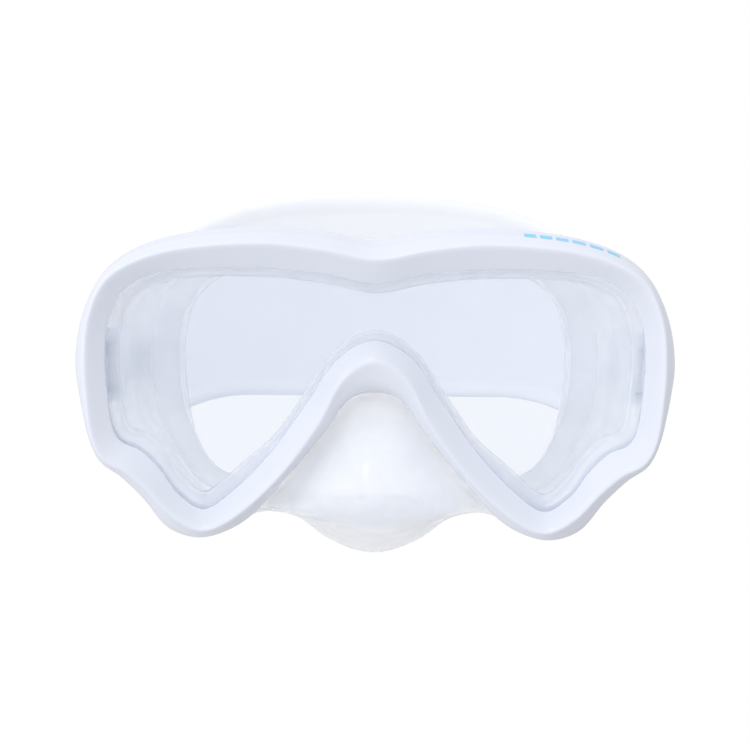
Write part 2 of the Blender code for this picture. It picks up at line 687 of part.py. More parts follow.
def main():
    clear_scene()
    mask = Assembly()
    mask.add_axis("strap", "mask", (0.0, PIVOT_Y, PIVOT_Z))
    spokes = rim_spokes()
    outer_frame(mask, spokes)
    lens(mask, spokes)
    inner_frame(mask, spokes)
    skirt(mask, spokes)
    strap(mask)
    for side_name, side in SIDES.items():
        keeper_x, keeper_y = loop_point(KEEPER_ANGLE, (STRAP_THICKNESS + GAP) / 2)
        for piece, x, y in (("release_lever_", LEVER_X, LEVER_Y),
                            ("strap_roller_", ROLLER_X, ROLLER_Y),
                            ("strap_keeper_", keeper_x, keeper_y)):
            mask.add_axis(piece + side_name, "strap", (side * x, y, PIVOT_Z))
        pivot_pin(mask, side_name, side)
        buckle_body(mask, side_name, side)
        cheek_pin(mask, "roller_pin_" + side_name, ROLLER_PIN_RADIUS, side * ROLLER_X, ROLLER_Y)
        cheek_pin(mask, "lever_pin_" + side_name, LEVER_PIN_RADIUS, side * LEVER_X, LEVER_Y)
        strap_roller(mask, side_name, side)
        release_lever(mask, side_name, side)
        lever_spring(mask, side_name, side)
        strap_keeper(mask, side_name, side)


main()
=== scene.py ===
"""Looks of the diving mask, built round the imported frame.

Shapes are drawn in millimetres in mask coordinates: X to the right, Y backwards from the rim's
front crest, Z up from the eye line. Mask.world carries them to the frame's metres.
"""
import math

import bmesh
import bpy
from mathutils import Matrix, Vector


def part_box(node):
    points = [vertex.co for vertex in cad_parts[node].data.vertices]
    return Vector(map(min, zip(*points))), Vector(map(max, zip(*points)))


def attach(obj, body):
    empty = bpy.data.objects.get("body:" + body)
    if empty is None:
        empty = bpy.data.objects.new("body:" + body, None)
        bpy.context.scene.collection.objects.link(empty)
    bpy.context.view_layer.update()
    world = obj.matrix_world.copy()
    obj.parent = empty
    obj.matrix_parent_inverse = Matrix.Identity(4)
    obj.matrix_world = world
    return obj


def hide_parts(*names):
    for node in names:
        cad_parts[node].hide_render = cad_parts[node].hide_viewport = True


# Lengths are in millimetres and angles in degrees, unless a comment says otherwise.
MM = 0.001
SIDES = {"left": -1, "right": 1}
BEVEL_STEPS = 3
BEVEL_ANGLE = 40.0
TURNED_SIDES = 48

# Right half of the rim, from the top notch round to the peak over the nose:
# lens opening x, z; outer edge x, z; width of the bevel between the opening and the crest.
RIM_HALF = [
    (0.0, 24.8, 0.0, 36.4, 6.5),
    (14.0, 27.4, 15.0, 38.8, 6.5),
    (30.0, 29.0, 31.0, 39.9, 6.5),
    (50.0, 28.8, 52.5, 38.0, 5.6),
    (62.0, 26.8, 66.9, 33.6, 5.0),
    (70.0, 22.2, 75.8, 26.6, 5.0),
    (74.0, 13.7, 81.3, 15.7, 4.8),
    (75.0, 3.2, 83.5, 3.2, 4.7),
    (74.3, -6.8, 82.5, -7.3, 4.8),
    (72.9, -15.8, 80.3, -17.3, 5.0),
    (70.5, -19.9, 76.9, -26.0, 5.6),
    (65.3, -22.3, 70.8, -30.8, 5.8),
    (60.0, -27.2, 64.7, -36.7, 5.6),
    (54.5, -34.6, 57.2, -45.3, 4.9),
    (47.5, -38.8, 47.4, -47.7, 4.5),
    (40.0, -34.2, 36.2, -43.0, 5.0),
    (29.0, -22.9, 24.5, -30.5, 5.4),
    (19.0, -8.9, 14.0, -15.9, 5.4),
    (10.0, 4.0, 7.0, -8.2, 5.0),
    (0.0, 8.9, 0.0, -6.5, 4.7),
]
RIM_STEPS = 190
RIM_CORNER_STEPS = 6

CREST_WIDTH = 1.2
CREST_ROUNDING = 4.5
FLANK_ROUNDING = 9.0
LIP_FRONT = 5.0
LIP_BACK = 6.0
REBATE = 2.9
FRAME_EDGE_Y = 11.0
FRAME_BACK = 12.3
FRAME_CHAMFER = 0.9
# How far the flank stands out halfway, by place along the rim (0 top, 1 nose peak).
FLANK_BULGE = [(0.76, 0.35), (0.9, 2.2), (1.0, 2.6)]

LENS_OVERLAP = 2.5
LENS_CHAMFER = 0.45

RETAINER_FRONT = 12.6
RETAINER_BACK = 14.8
RETAINER_INSIDE = 0.3
RETAINER_EDGE = 1.2
RETAINER_CHAMFER = 0.8
RETAINER_CORNER_STEPS = 3

SKIRT_THICKNESS = 1.6
LIP_THICKNESS = 0.55
SEAL_BEAD = 0.8
THICKEST = SKIRT_THICKNESS + SEAL_BEAD
LIP_REACH = (6.0, -3.0)
FLANGE_Y = 11.5
FLANGE_REACH = 2.3
WALL_INSET = 2.7
V_WALL_INSET = 0.9
V_SPAN = (0.74, 0.82)
WALL_START_Y = 16.2
# Right half of the face seal: place along the rim, x, y, z.
SEAL_HALF = [
    (0.0, 0.0, 44.0, 31.0),
    (0.14, 27.0, 46.0, 32.0),
    (0.235, 44.0, 52.0, 28.5),
    (0.335, 56.5, 60.0, 18.0),
    (0.43, 61.0, 64.0, 3.0),
    (0.515, 60.0, 62.0, -16.0),
    (0.6, 55.0, 57.5, -32.0),
    (0.68, 44.5, 51.5, -42.0),
    (0.75, 33.0, 46.5, -44.5),
    (0.83, 21.5, 42.5, -46.2),
    (0.91, 12.5, 40.0, -52.2),
    (1.0, 0.0, 39.0, -55.9),
]
WALL_SHARES = [0.08, 0.16, 0.26, 0.38, 0.5, 0.62, 0.75, 0.88]
WRAP_START = 0.65
WRAP_END = 0.74
WRAP_Y = 18.4
WRAP_SHARE = 0.95
# The pocket's edge round the V: gap from the rim and depth, at the V's foot and past it.
POCKET_GAP = (0.3, 2.2)
POCKET_ROOT_Y = (14.8, 12.0)
POCKET_EMERGES = (0.74, 0.83)
POCKET_HALF_WIDTH = 29.0
POCKET_BOTTOM = -37.5
POCKET_SAG = 2.6
POCKET_SPREAD = 0.76
POCKET_UNDERSIDE = 0.45
# Painted shade on the nose pocket: the depths where its darker colour starts and where it is full.
POCKET_SHADE_DEPTHS = (14.0, 6.0)
# Pocket rings: share of the way down from the V to the bottom edge, how far it stands out,
# and how far it drops below that edge.
POCKET_RINGS = [(0.25, 8.0, 0.0), (0.55, 16.5, 0.0), (0.82, 20.3, 0.0), (0.97, 18.5, 0.0),
                (1.0, 12.0, 2.6)]

LOOP_CENTRE_Y = 50.0
LOOP_HALF_DEPTH = 114.0
STRAP_HALF_HEIGHT = 7.0
STRAP_THICKNESS = 2.0
STRAP_GAP = 0.3
PAD_RISE = 7.0
PAD_RISE_SPAN = (17.0, 58.0)
PAD_SHOULDER_SPAN = (16.0, 38.0)
PAD_SHOULDER_HALF_HEIGHT = 26.5
PAD_CROWN_SPAN = (30.0, 80.0)
PAD_HALF_HEIGHT = 31.2
TAIL_JOIN_ANGLE = 8.0
TAIL_END_ANGLE = 19.0
TAIL_HANDLE = 7.0

LUG_INNER = (75.6, 77.2)
LUG_OUTER = (81.5, 82.7)
LUG_HALF_HEIGHT = 5.0
LUG_ROOT = 16.0
LUG_BLOCK_X = (75.3, 82.5)
LUG_BLOCK_Y = (12.9, 17.5)
LUG_BLOCK_HALF_HEIGHT = 5.2
BLOCK_BEVEL = 0.5
LUG_BEVEL = 0.35
TAB_STEPS = 24
CUT_BEYOND = 1.0
PIVOT_Y = 26.5
PIVOT_Z = -3.6
PIN_RADIUS = 1.5
PIN_CHAMFER = 0.3
HOLE_RADIUS = 1.65
# The pin's head from its underside to its hollow middle: distance behind its face, radius.
PIN_HEAD = [(0.6, 1.5), (0.6, 2.25), (0.45, 2.4), (0.25, 2.4), (0.05, 1.9), (0.0, 1.2),
            (0.0, 0.8), (0.3, 0.6), (0.3, 0.1)]
# Chamfer and end radius of the buckle's axles, as shares of their radius.
AXLE_CHAMFER = 0.3
AXLE_END = 0.4

CHEEK_INSIDE = 7.4
CHEEK_THICKNESS = 2.0
CHEEK_OUTLINE = [(76.0, 34.0), (82.8, 34.0), (83.8, 35.0), (83.8, 52.5), (82.3, 54.0),
                 (72.0, 54.0), (71.0, 53.0), (71.0, 43.0)]
CHEEK_ROUNDING = 1.2
CHEEK_BEVEL = 0.4
WEB_X = (76.6, 81.0)
WEB_Y = (34.5, 38.0)
WEB_OVERLAP = 0.3
WEB_BEVEL = 0.4
TONGUE_X = (77.5, 81.2)
TONGUE_OVERLAP = 1.0
TONGUE_BEVEL = 0.6
KNUCKLE_RADIUS = 4.2
PRESS_SLACK = 0.05

ROLLER_X = 77.0
ROLLER_Y = 50.0
ROLLER_TEETH = 22
ROLLER_SLACK = 0.25
# From the roller's end to its knurl: distance from the end, depth below the radius, knurled.
ROLLER_END = [(0.0, 0.4, False), (0.4, 0.0, False), (1.0, 0.0, False), (1.3, 0.0, True)]
# The radius along one tooth, as shares.
KNURL = [1.0, 0.965, 0.94, 0.965]
STRAP_SIDE_X = 72.7

LEVER_HALF_HEIGHT = 6.5
LEVER_PLATE_X = (83.0, 84.2)
LEVER_PLATE_Y = (34.5, 52.0)
LEVER_ROUNDINGS = (1.6, 2.4)
LEVER_CORNER_STEPS = 6
LEVER_BEVEL = 0.45
LEVER_SLACK = 0.2
# The pawl tooth: its tip's x, then where it starts and where it is steepest, in y.
LEVER_TOOTH = (82.5, 47.0, 49.0)
TOOTH_OVERLAP = 0.4
TOOTH_LEAN = 0.6
TOOTH_BEVEL = 0.12
LEVER_RIBS = 5
LEVER_RIB_START = 43.5
LEVER_RIB_PITCH = 1.6
RIB_RADIUS = 0.45
RIB_SUNK = 0.15
RIB_SHORTER = 1.6
RIB_STEPS = 8
RIB_BEVEL = 0.1
BARREL_RADIUS = 2.0
BARREL_CHAMFER = 0.3
SPRING_POCKET_X = (79.0, 83.4)
SPRING_POCKET_Y = (38.5, 43.5)
SPRING_POCKET_HALF_HEIGHT = 1.9
SPRING_RADIUS = 1.45
SPRING_WIRE_RADIUS = 0.22
WIRE_SIDES = 12
SPRING_TURNS = 3.5
SPRING_PITCH = 0.62
SPRING_STEPS_PER_TURN = 32
SPRING_LEVER_LEG = (-1.25, -2.2)
SPRING_WEB_LEG = (1.2, -3.3)

KEEPER_ANGLE = 14.0
KEEPER_WALL = 1.2
KEEPER_LENGTH = 6.0
KEEPER_INNER_ROUNDING = 0.35
KEEPER_OUTER_ROUNDING = 0.5
# Centre of the keeper window's corner: across the two layers of strap, and up.
KEEPER_CORNER = (2.05, 6.9)
KEEPER_CORNER_RADIUS = 0.4
KEEPER_CORNER_STEPS = 8

TAIL_STEPS = 70
BEND_STEPS = 48
LOOP_STEPS = 150
STRAP_FACE_STEPS = 28
STRAP_EDGE_RADIUS = 0.9
TAIL_ROUND = 5.0
TAIL_LEAST = 0.2
LADDER_PITCH = 1.8
LADDER_DEPTH = 0.4
# Where on a wave from -1 to 1 a ladder groove's side starts and ends.
LADDER_SHARPNESS = (-0.2, 0.6)
# Distance from the strap's edge at which the ladder and the pad's panel start and are full.
LADDER_EDGE = (1.2, 2.0)
PANEL_EDGE = (3.2, 4.8)
PANEL_START = 2.0
PANEL_DEPTH = 0.6

FLANGE_ROUNDING = 0.5
WALL_STEPS = 4
# How strongly and often the skirt's walls are evened out, and over which points of a wall line.
EVENING = 0.7
EVENING_PASSES = 14
EVENING_START = 3
EVENING_RUN = 6
LIP_CURL_STEPS = 6
INNER_LIP_SHARE = 0.72
# The inner lip's reach at places along the rim, and how far it curls back.
INNER_LIP_REACH = [(0.0, 3.5), (0.24, 4.5), (0.34, 8.0), (0.5, 8.0), (0.66, 6.0), (1.0, 5.0)]
INNER_LIP_RISE = 2.0
INNER_LIP_ROOT = 1.1
INNER_LIP_BEAD = 1.0

# The printed dashes: places along the rim, then shares of the flank from crest to edge.
ACCENT_START = 0.188
ACCENT_DASHES = 6
ACCENT_PITCH = 0.019
ACCENT_LENGTH = 0.0145
ACCENT_SLANT = -0.004
ACCENT_STEPS = 6
ACCENT_SHARES = (0.48, 0.72)
ACCENT_PROUD = 0.05

# Noise scales, in features per metre, and bump heights in metres.
FLOW_NOISE = 38.0
FLOW_STRETCH = (1.0, 1.0, 0.45)
HAZE_NOISE = 60.0
PEEL_NOISE = 1600.0
PEEL_HEIGHT = 0.00002
MOTTLE_NOISE = 60.0
BLOOM_NOISE = 180.0
GRAIN_NOISE = 2600.0
GRAIN_HEIGHT = 0.00002
CLOUD_NOISE = 28.0
CLOUD_HEIGHT = 0.0006
MILK_NOISE = 70.0
SMEAR_NOISE = 30.0
SMEAR_STRETCH = (1.0, 1.0, 0.5)
SPECK_NOISE = 900.0
SPECK_HEIGHT = 0.00001
BRUSH_NOISE = 2400.0
BRUSH_STRETCH = (1.0, 1.0, 0.08)
BRUSH_HEIGHT = 0.00003
PATCH_NOISE = 300.0

# Opacity seen face on and edge on.
SKIRT_DENSITY = (0.38, 0.8)
LENS_DENSITY = (0.1, 0.4)

# Colour and shade of each material.
FRAME_WHITE = ((0.78, 0.795, 0.86), (0.76, 0.78, 0.85))
BUCKLE_GREY = ((0.66, 0.69, 0.74), (0.60, 0.63, 0.69))
PRINT_BLUE = ((0.22, 0.62, 0.86), (0.27, 0.66, 0.88))
STRAP_WHITE = ((0.91, 0.92, 0.965), (0.885, 0.895, 0.945))
SKIRT_CLEAR = ((0.97, 0.98, 1.0), (0.941, 0.951, 0.97))
# Painted shade: the nose pocket's darker, bluer colour on the same clear silicone as the walls.
POCKET_SHADE_COLOUR = (0.76, 0.795, 0.93)
LENS_TINT = ((0.30, 0.44, 0.74), (0.36, 0.49, 0.78))
STEEL_GREY = ((0.66, 0.67, 0.69), (0.52, 0.53, 0.55))

# The studio: places and sizes in metres, powers in watts.
FLOOR_HALF_SIZE = 3.0
FLOOR_ALBEDO = 0.08
FLOOR_GLOW = 0.93
DOME_TOWARDS = (-0.85, -0.52, 0.62)
DOME_RANGE = (0.55, 1.33)
DOME_COLOUR = (0.94, 0.96, 1.0)
# Place, width and height, and power of each softbox.
SOFTBOXES = {
    "key": ((-0.3, -0.75, 1.2), (0.08, 0.5), 1.2),
    "edge": ((0.9, 0.3, 0.6), (0.3, 0.3), 0.45),
}

# Distance in metres.
CAMERA_DISTANCE = 1.2
CAMERA_ELEVATION = 7.5
CAMERA_ROLL = 0.5
CAMERA_FOCAL = 208.7
SENSOR_WIDTH = 36.0


# ---------------------------------------------------------------- numbers and curves

def smoothstep(value, start, end):
    share = min(max((value - start) / (end - start), 0.0), 1.0)
    return share * share * (3.0 - 2.0 * share)


def between(ends, share):
    """The value at a share of the way from the first end to the second."""
    return ends[0] + (ends[1] - ends[0]) * share


def level_at(place, table):
    """A smooth value between the table's (place, value) pairs."""
    for (start, low), (end, high) in zip(table, table[1:]):
        if place <= end:
            return between((low, high), smoothstep(place, start, end))
    return table[-1][1]


def half_spline(rows, knots, crossing):
    """Smooth curve through the rows of a symmetric shape's right half, as a function of place.

    The rows beyond both ends are the mirrored ones; the crossing columns change sign there.
    """
    def mirrored(row):
        return tuple(-v if column in crossing else v for column, v in enumerate(row))

    rows = [mirrored(rows[1])] + list(rows) + [mirrored(rows[-2])]
    knots = [-knots[1]] + list(knots) + [2 * knots[-1] - knots[-2]]

    def slope(i, column):
        return (rows[i + 1][column] - rows[i - 1][column]) / (knots[i + 1] - knots[i - 1])

    def curve(place):
        i = 1
        while i < len(knots) - 3 and place > knots[i + 1]:
            i += 1
        span = knots[i + 1] - knots[i]
        share = (place - knots[i]) / span
        rise = share * share * (3 - 2 * share)
        start = share * (1 - share) ** 2 * span
        end = share * share * (share - 1) * span
        return tuple(rows[i][c] * (1 - rise) + rows[i + 1][c] * rise
                     + start * slope(i, c) + end * slope(i + 1, c) for c in range(len(rows[i])))

    return curve


def run_knots(rows):
    """Knots from 0 to 1 along the opening's outline, by chord length."""
    knots = [0.0]
    for row, following in zip(rows, rows[1:]):
        knots.append(knots[-1] + math.dist(row[:2], following[:2]))
    return [knot / knots[-1] for knot in knots]


class Spoke:
    """One cut across the rim: the opening's point and the direction to the outer edge."""

    def __init__(self, place, side, rim, seal):
        open_x, open_z, edge_x, edge_z, bevel = rim(place)
        self.place = place
        self.point = Vector((side * open_x, open_z))
        reach = Vector((side * edge_x, edge_z)) - self.point
        self.width = reach.length
        self.out = reach.normalized()
        self.bevel = bevel
        seal_x, seal_y, seal_z = seal(place)
        self.seal = Vector((side * seal_x, seal_y, seal_z))
        self.side = side

    def at(self, distance, depth):
        flat = self.point + self.out * distance
        return Vector((flat.x, depth, flat.y))


def rim_curves():
    """The spoke at any place and side of the rim."""
    rim = half_spline(RIM_HALF, run_knots(RIM_HALF), crossing=(0, 2))
    seal = half_spline([row[1:] for row in SEAL_HALF], [row[0] for row in SEAL_HALF], crossing=(0,))
    return lambda place, side: Spoke(place, side, rim, seal)


def rim_spokes(rim_curve):
    right = [rim_curve(i / RIM_STEPS, 1) for i in range(RIM_STEPS + 1)]
    left = [rim_curve(i / RIM_STEPS, -1) for i in range(RIM_STEPS - 1, 0, -1)]
    return right + left


def rounded(corners, steps=4):
    """A closed outline whose corners, each (u, v, radius), are turned into short arcs."""
    outline = []
    for i, (u, v, radius) in enumerate(corners):
        corner = Vector((u, v))
        before = Vector(corners[i - 1][:2]) - corner
        after = Vector(corners[(i + 1) % len(corners)][:2]) - corner
        reach = radius / math.tan(max(before.angle(after) / 2, 0.05))
        start = corner + before.normalized() * min(reach, 0.45 * before.length)
        end = corner + after.normalized() * min(reach, 0.45 * after.length)
        for step in range(steps + 1):
            share = step / steps
            outline.append(start * (1 - share) ** 2 + corner * (2 * share * (1 - share))
                           + end * share ** 2)
    return outline


def smooth_line(points, steps):
    """A Catmull-Rom line through the points, with steps stretches between neighbours."""
    ends = [2 * points[0] - points[1]] + points + [2 * points[-1] - points[-2]]
    line = [points[0]]
    for a, b, c, d in zip(ends, ends[1:], ends[2:], ends[3:]):
        for step in range(1, steps + 1):
            t = step / steps
            line.append((2 * b + (c - a) * t + (2 * a - 5 * b + 4 * c - d) * t * t
                         + (3 * b - a - 3 * c + d) * t ** 3) / 2)
    return line


# ---------------------------------------------------------------- meshes

def box_centre(node):
    low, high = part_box(node)
    return (low + high) / 2


class Mask:
    """Where the frame stands, and the finishes (material, slot) that the pieces share."""

    def __init__(self):
        eye_line = box_centre("pivot_pin_left").z - PIVOT_Z * MM
        self.datum = Vector((0.0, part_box("outer_frame")[0].y, eye_line))
        self.world = Matrix.Translation(self.datum) @ Matrix.Scale(MM, 4)
        self.finishes = {}

    def place(self, point):
        """A world point in mask coordinates."""
        return (point - self.datum) / MM


def new_mesh(name, build):
    """A mesh made by build(bm), in millimetres."""
    bm = bmesh.new()
    build(bm)
    bmesh.ops.recalc_face_normals(bm, faces=bm.faces)
    mesh = bpy.data.meshes.new(name)
    bm.to_mesh(mesh)
    bm.free()
    return mesh


def loft(name, rings, closed_rings=True, closed_path=True, caps=False):
    """Quads between neighbouring rings of equal length."""
    def build(bm):
        grid = [[bm.verts.new(point) for point in ring] for ring in rings]
        count = len(grid[0])
        spans = list(zip(grid, grid[1:] + grid[:1])) if closed_path else list(zip(grid, grid[1:]))
        for ring, following in spans:
            for i in range(count if closed_rings else count - 1):
                j = (i + 1) % count
                bm.faces.new((ring[i], ring[j], following[j], following[i]))
        if caps:
            bm.faces.new(reversed(grid[0]))
            bm.faces.new(grid[-1])
    return new_mesh(name, build)


def in_scene(name, data):
    """A new object that is part of the scene."""
    thing = bpy.data.objects.new(name, data)
    bpy.context.scene.collection.objects.link(thing)
    return thing


def finished_mesh(thing):
    """The object's mesh after its modifiers; the object itself is removed."""
    graph = bpy.context.evaluated_depsgraph_get()
    mesh = bpy.data.meshes.new_from_object(thing.evaluated_get(graph))
    bpy.data.objects.remove(thing)
    return mesh


def bevelled(mesh, width):
    """The mesh with its sharp edges rounded."""
    thing = in_scene(mesh.name, mesh)
    modifier = thing.modifiers.new("bevel", "BEVEL")
    modifier.width = width
    modifier.segments = BEVEL_STEPS
    modifier.limit_method = "ANGLE"
    modifier.angle_limit = math.radians(BEVEL_ANGLE)
    modifier.use_clamp_overlap = True
    return finished_mesh(thing)


def united(name, meshes, cutters=()):
    """One closed mesh of the meshes' union, less the cutters."""
    things = [in_scene(mesh.name, mesh) for mesh in [*meshes, *cutters]]
    for i, thing in enumerate(things[1:], start=1):
        modifier = things[0].modifiers.new("join", "BOOLEAN")
        modifier.operation = "UNION" if i < len(meshes) else "DIFFERENCE"
        modifier.object = thing
    result = finished_mesh(things[0])
    for thing in things[1:]:
        bpy.data.objects.remove(thing)
    result.name = name
    return result


def prism(name, outline, depth, to_place, bevel=0.0):
    """An outline in U and V, extruded to both sides along W; to_place(u, v, w) gives the point."""
    def build(bm):
        ends = [[bm.verts.new(to_place(u, v, w)) for u, v in outline] for w in depth]
        bm.faces.new(ends[0])
        bm.faces.new(ends[1])
        count = len(outline)
        for i in range(count):
            j = (i + 1) % count
            bm.faces.new((ends[0][i], ends[0][j], ends[1][j], ends[1][i]))
    mesh = new_mesh(name, build)
    return bevelled(mesh, bevel) if bevel else mesh


def turned(name, profile, centre, axis):
    """A profile of (along, radius) turned about an axis, X or Z, through the centre."""
    def point(along, radius, angle):
        first, second = radius * math.cos(angle), radius * math.sin(angle)
        spot = {"X": (along, first, second), "Z": (first, second, along)}[axis]
        return Vector(centre) + Vector(spot)

    rings = [[point(along, radius, 2 * math.pi * i / TURNED_SIDES) for i in range(TURNED_SIDES)]
             for along, radius in profile]
    return loft(name, rings, closed_path=False, caps=True)


def add_piece(mask, name, mesh, body, finish, replaces=(), sharp=40.0, weighted=True,
              clear=False):
    """A piece in place in the frame, on its body, in its material.

    Clear pieces neither shade nor dim what is behind them.
    """
    material, slot = mask.finishes[finish]
    mesh.transform(mask.world)
    mesh.name = name
    mesh.materials.clear()
    mesh.materials.append(material)
    mesh.shade_smooth()
    mesh.set_sharp_from_angle(angle=math.radians(sharp))
    piece = in_scene(name, mesh)
    if weighted:
        normals = piece.modifiers.new("flat_faces_first", "WEIGHTED_NORMAL")
        normals.keep_sharp = True
    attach(piece, body)
    if replaces:
        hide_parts(*replaces)
    if clear:
        piece.visible_shadow = False
        piece.visible_diffuse = False


# ---------------------------------------------------------------- materials

class Nodes:
    """A material's node tree with one Principled shader, and short ways to add to it."""

    def __init__(self, name):
        self.material = bpy.data.materials.new(name)
        self.material.use_nodes = True
        self.tree = self.material.node_tree
        self.shader = self.tree.nodes["Principled BSDF"]

    def add(self, kind, **settings):
        node = self.tree.nodes.new(kind)
        for key, value in settings.items():
            setattr(node, key, value)
        return node

    def link(self, source, target):
        self.tree.links.new(source, target)

    def place(self, stretch=(1.0, 1.0, 1.0)):
        """Object coordinates in metres, stretched per axis."""
        where = self.add("ShaderNodeTexCoord")
        mapping = self.add("ShaderNodeMapping")
        mapping.inputs["Scale"].default_value = stretch
        self.link(where.outputs["Object"], mapping.inputs["Vector"])
        return mapping.outputs["Vector"]

    def noise(self, scale, detail=3.0, stretch=(1.0, 1.0, 1.0)):
        texture = self.add("ShaderNodeTexNoise")
        texture.inputs["Scale"].default_value = scale
        texture.inputs["Detail"].default_value = detail
        self.link(self.place(stretch), texture.inputs["Vector"])
        return texture.outputs["Fac"]

    def remap(self, value, low, high, start=0.3, end=0.7):
        """The value between start and end becomes low to high."""
        node = self.add("ShaderNodeMapRange")
        self.link(value, node.inputs["Value"])
        for key, number in (("From Min", start), ("From Max", end),
                            ("To Min", low), ("To Max", high)):
            node.inputs[key].default_value = number
        return node.outputs["Result"]

    def blend(self, share, first, second):
        """From the first colour to the second; either may be another node's output."""
        node = self.add("ShaderNodeMix", data_type="RGBA")
        self.link(share, node.inputs["Factor"])
        for socket, colour in zip(node.inputs[6:8], (first, second)):
            if isinstance(colour, tuple):
                socket.default_value = (*colour, 1.0)
            else:
                self.link(colour, socket)
        return node.outputs[2]

    def mottled(self, noise, colours):
        """The base colour wanders between the two colours with the noise."""
        colour = self.blend(self.remap(noise, 0.0, 1.0), *colours)
        self.link(colour, self.shader.inputs["Base Color"])

    def roughness(self, noise, low, high):
        self.link(self.remap(noise, low, high), self.shader.inputs["Roughness"])

    def edge_on(self, blend):
        """0 where the surface faces the viewer, 1 where it is seen edge on."""
        node = self.add("ShaderNodeLayerWeight")
        node.inputs["Blend"].default_value = blend
        return node.outputs["Facing"]

    def bump(self, noise, height, strength):
        node = self.add("ShaderNodeBump")
        node.inputs["Distance"].default_value = height
        node.inputs["Strength"].default_value = strength
        self.link(noise, node.inputs["Height"])
        self.link(node.outputs["Normal"], self.shader.inputs["Normal"])

    def set(self, **values):
        for key, value in values.items():
            self.shader.inputs[key.replace("_", " ")].default_value = value


def moulded_plastic(name, colours, roughness, peel_strength=0.2):
    """Moulded plastic: faint flow marks in its colour, soft haze in its gloss, a fine peel."""
    nodes = Nodes(name)
    nodes.mottled(nodes.noise(FLOW_NOISE, detail=4.0, stretch=FLOW_STRETCH), colours)
    nodes.roughness(nodes.noise(HAZE_NOISE, detail=2.0), roughness - 0.02, roughness + 0.06)
    nodes.bump(nodes.noise(PEEL_NOISE, detail=2.0), PEEL_HEIGHT, peel_strength)
    return nodes.material


def silicone(name, colours, roughness):
    """White satin silicone: light scatters in it; soft mottle, a fine grain and a little bloom."""
    nodes = Nodes(name)
    nodes.mottled(nodes.noise(MOTTLE_NOISE, detail=5.0), colours)
    nodes.roughness(nodes.noise(BLOOM_NOISE, detail=4.0), roughness - 0.07, roughness + 0.1)
    nodes.bump(nodes.noise(GRAIN_NOISE, detail=2.0), GRAIN_HEIGHT, 0.05)
    nodes.set(Sheen_Weight=0.1, Sheen_Roughness=0.4, Subsurface_Weight=0.6,
              Subsurface_Radius=(1.0, 1.0, 1.1), Subsurface_Scale=0.012)
    return nodes.material


def clear_silicone(name, pocket_back, pocket_front):
    """Clear silicone: milky where it is seen edge on, cloudy, and given painted shade in the nose
    pocket, a darker, bluer colour than the walls.

    The pocket's painted shade sets in between the two depths, in metres.
    """
    nodes = Nodes(name)
    cloud = nodes.noise(CLOUD_NOISE)
    milk = nodes.noise(MILK_NOISE, detail=4.0)
    depth = nodes.add("ShaderNodeSeparateXYZ")
    nodes.link(nodes.place(), depth.inputs["Vector"])
    pocket_shade_share = nodes.remap(depth.outputs["Y"], 0.0, 1.0, pocket_back, pocket_front)
    walls = nodes.blend(nodes.remap(cloud, 0.0, 1.0), *SKIRT_CLEAR)
    # Painted shade: the nose pocket gets a darker, bluer colour than the walls.
    nodes.link(nodes.blend(pocket_shade_share, walls, POCKET_SHADE_COLOUR), nodes.shader.inputs["Base Color"])
    nodes.roughness(milk, 0.09, 0.2)
    uneven = nodes.add("ShaderNodeMath", operation="MULTIPLY")
    nodes.link(nodes.remap(nodes.edge_on(0.5), *SKIRT_DENSITY, 0.0, 1.0), uneven.inputs[0])
    nodes.link(nodes.remap(milk, 0.9, 1.08), uneven.inputs[1])
    nodes.link(uneven.outputs[0], nodes.shader.inputs["Alpha"])
    nodes.bump(cloud, CLOUD_HEIGHT, 0.05)
    nodes.set(Subsurface_Weight=1.0, Subsurface_Radius=(1.0, 1.0, 1.1), Subsurface_Scale=0.01)
    return nodes.material


def lens_glass(name):
    """Clear tempered glass: nearly invisible face on, tinted at its ground edge, faint smears."""
    nodes = Nodes(name)
    smears = nodes.noise(SMEAR_NOISE, detail=5.0, stretch=SMEAR_STRETCH)
    nodes.mottled(smears, LENS_TINT)
    nodes.roughness(smears, 0.02, 0.09)
    density = nodes.remap(nodes.edge_on(0.25), *LENS_DENSITY, 0.0, 1.0)
    nodes.link(density, nodes.shader.inputs["Alpha"])
    nodes.bump(nodes.noise(SPECK_NOISE, detail=1.0), SPECK_HEIGHT, 0.02)
    return nodes.material


def steel(name):
    """Brushed stainless steel, with fine lines and a few duller patches."""
    nodes = Nodes(name)
    patches = nodes.noise(PATCH_NOISE)
    nodes.mottled(patches, STEEL_GREY)
    nodes.roughness(patches, 0.22, 0.38)
    nodes.bump(nodes.noise(BRUSH_NOISE, detail=2.0, stretch=BRUSH_STRETCH), BRUSH_HEIGHT, 0.3)
    nodes.set(Metallic=1.0)
    return nodes.material


# ---------------------------------------------------------------- rim, lens and retainer

def rim(mask, spokes):
    """The white outer frame: bevel down to the lens, a narrow crest, a slightly full flank."""
    def section(spoke):
        """Corners as distance from the opening, depth and rounding."""
        crest = spoke.bevel + CREST_WIDTH
        middle = (crest + spoke.width) / 2
        bulge = level_at(spoke.place, FLANK_BULGE)
        corners = [(0.0, LIP_FRONT, 0.35), (spoke.bevel, 0.0, CREST_ROUNDING),
                   (crest, 0.0, CREST_ROUNDING),
                   (middle + bulge, FRAME_EDGE_Y / 2 - bulge, FLANK_ROUNDING),
                   (spoke.width, FRAME_EDGE_Y, 0.9),
                   (spoke.width - FRAME_CHAMFER, FRAME_BACK, 0.3), (REBATE, FRAME_BACK, 0.15),
                   (REBATE, LIP_BACK, 0.1), (0.0, LIP_BACK, 0.25)]
        return [spoke.at(distance, depth) for distance, depth in rounded(corners, RIM_CORNER_STEPS)]

    mesh = loft("rim", [section(spoke) for spoke in spokes])
    add_piece(mask, "rim", mesh, "mask", "frame", ["outer_frame"])


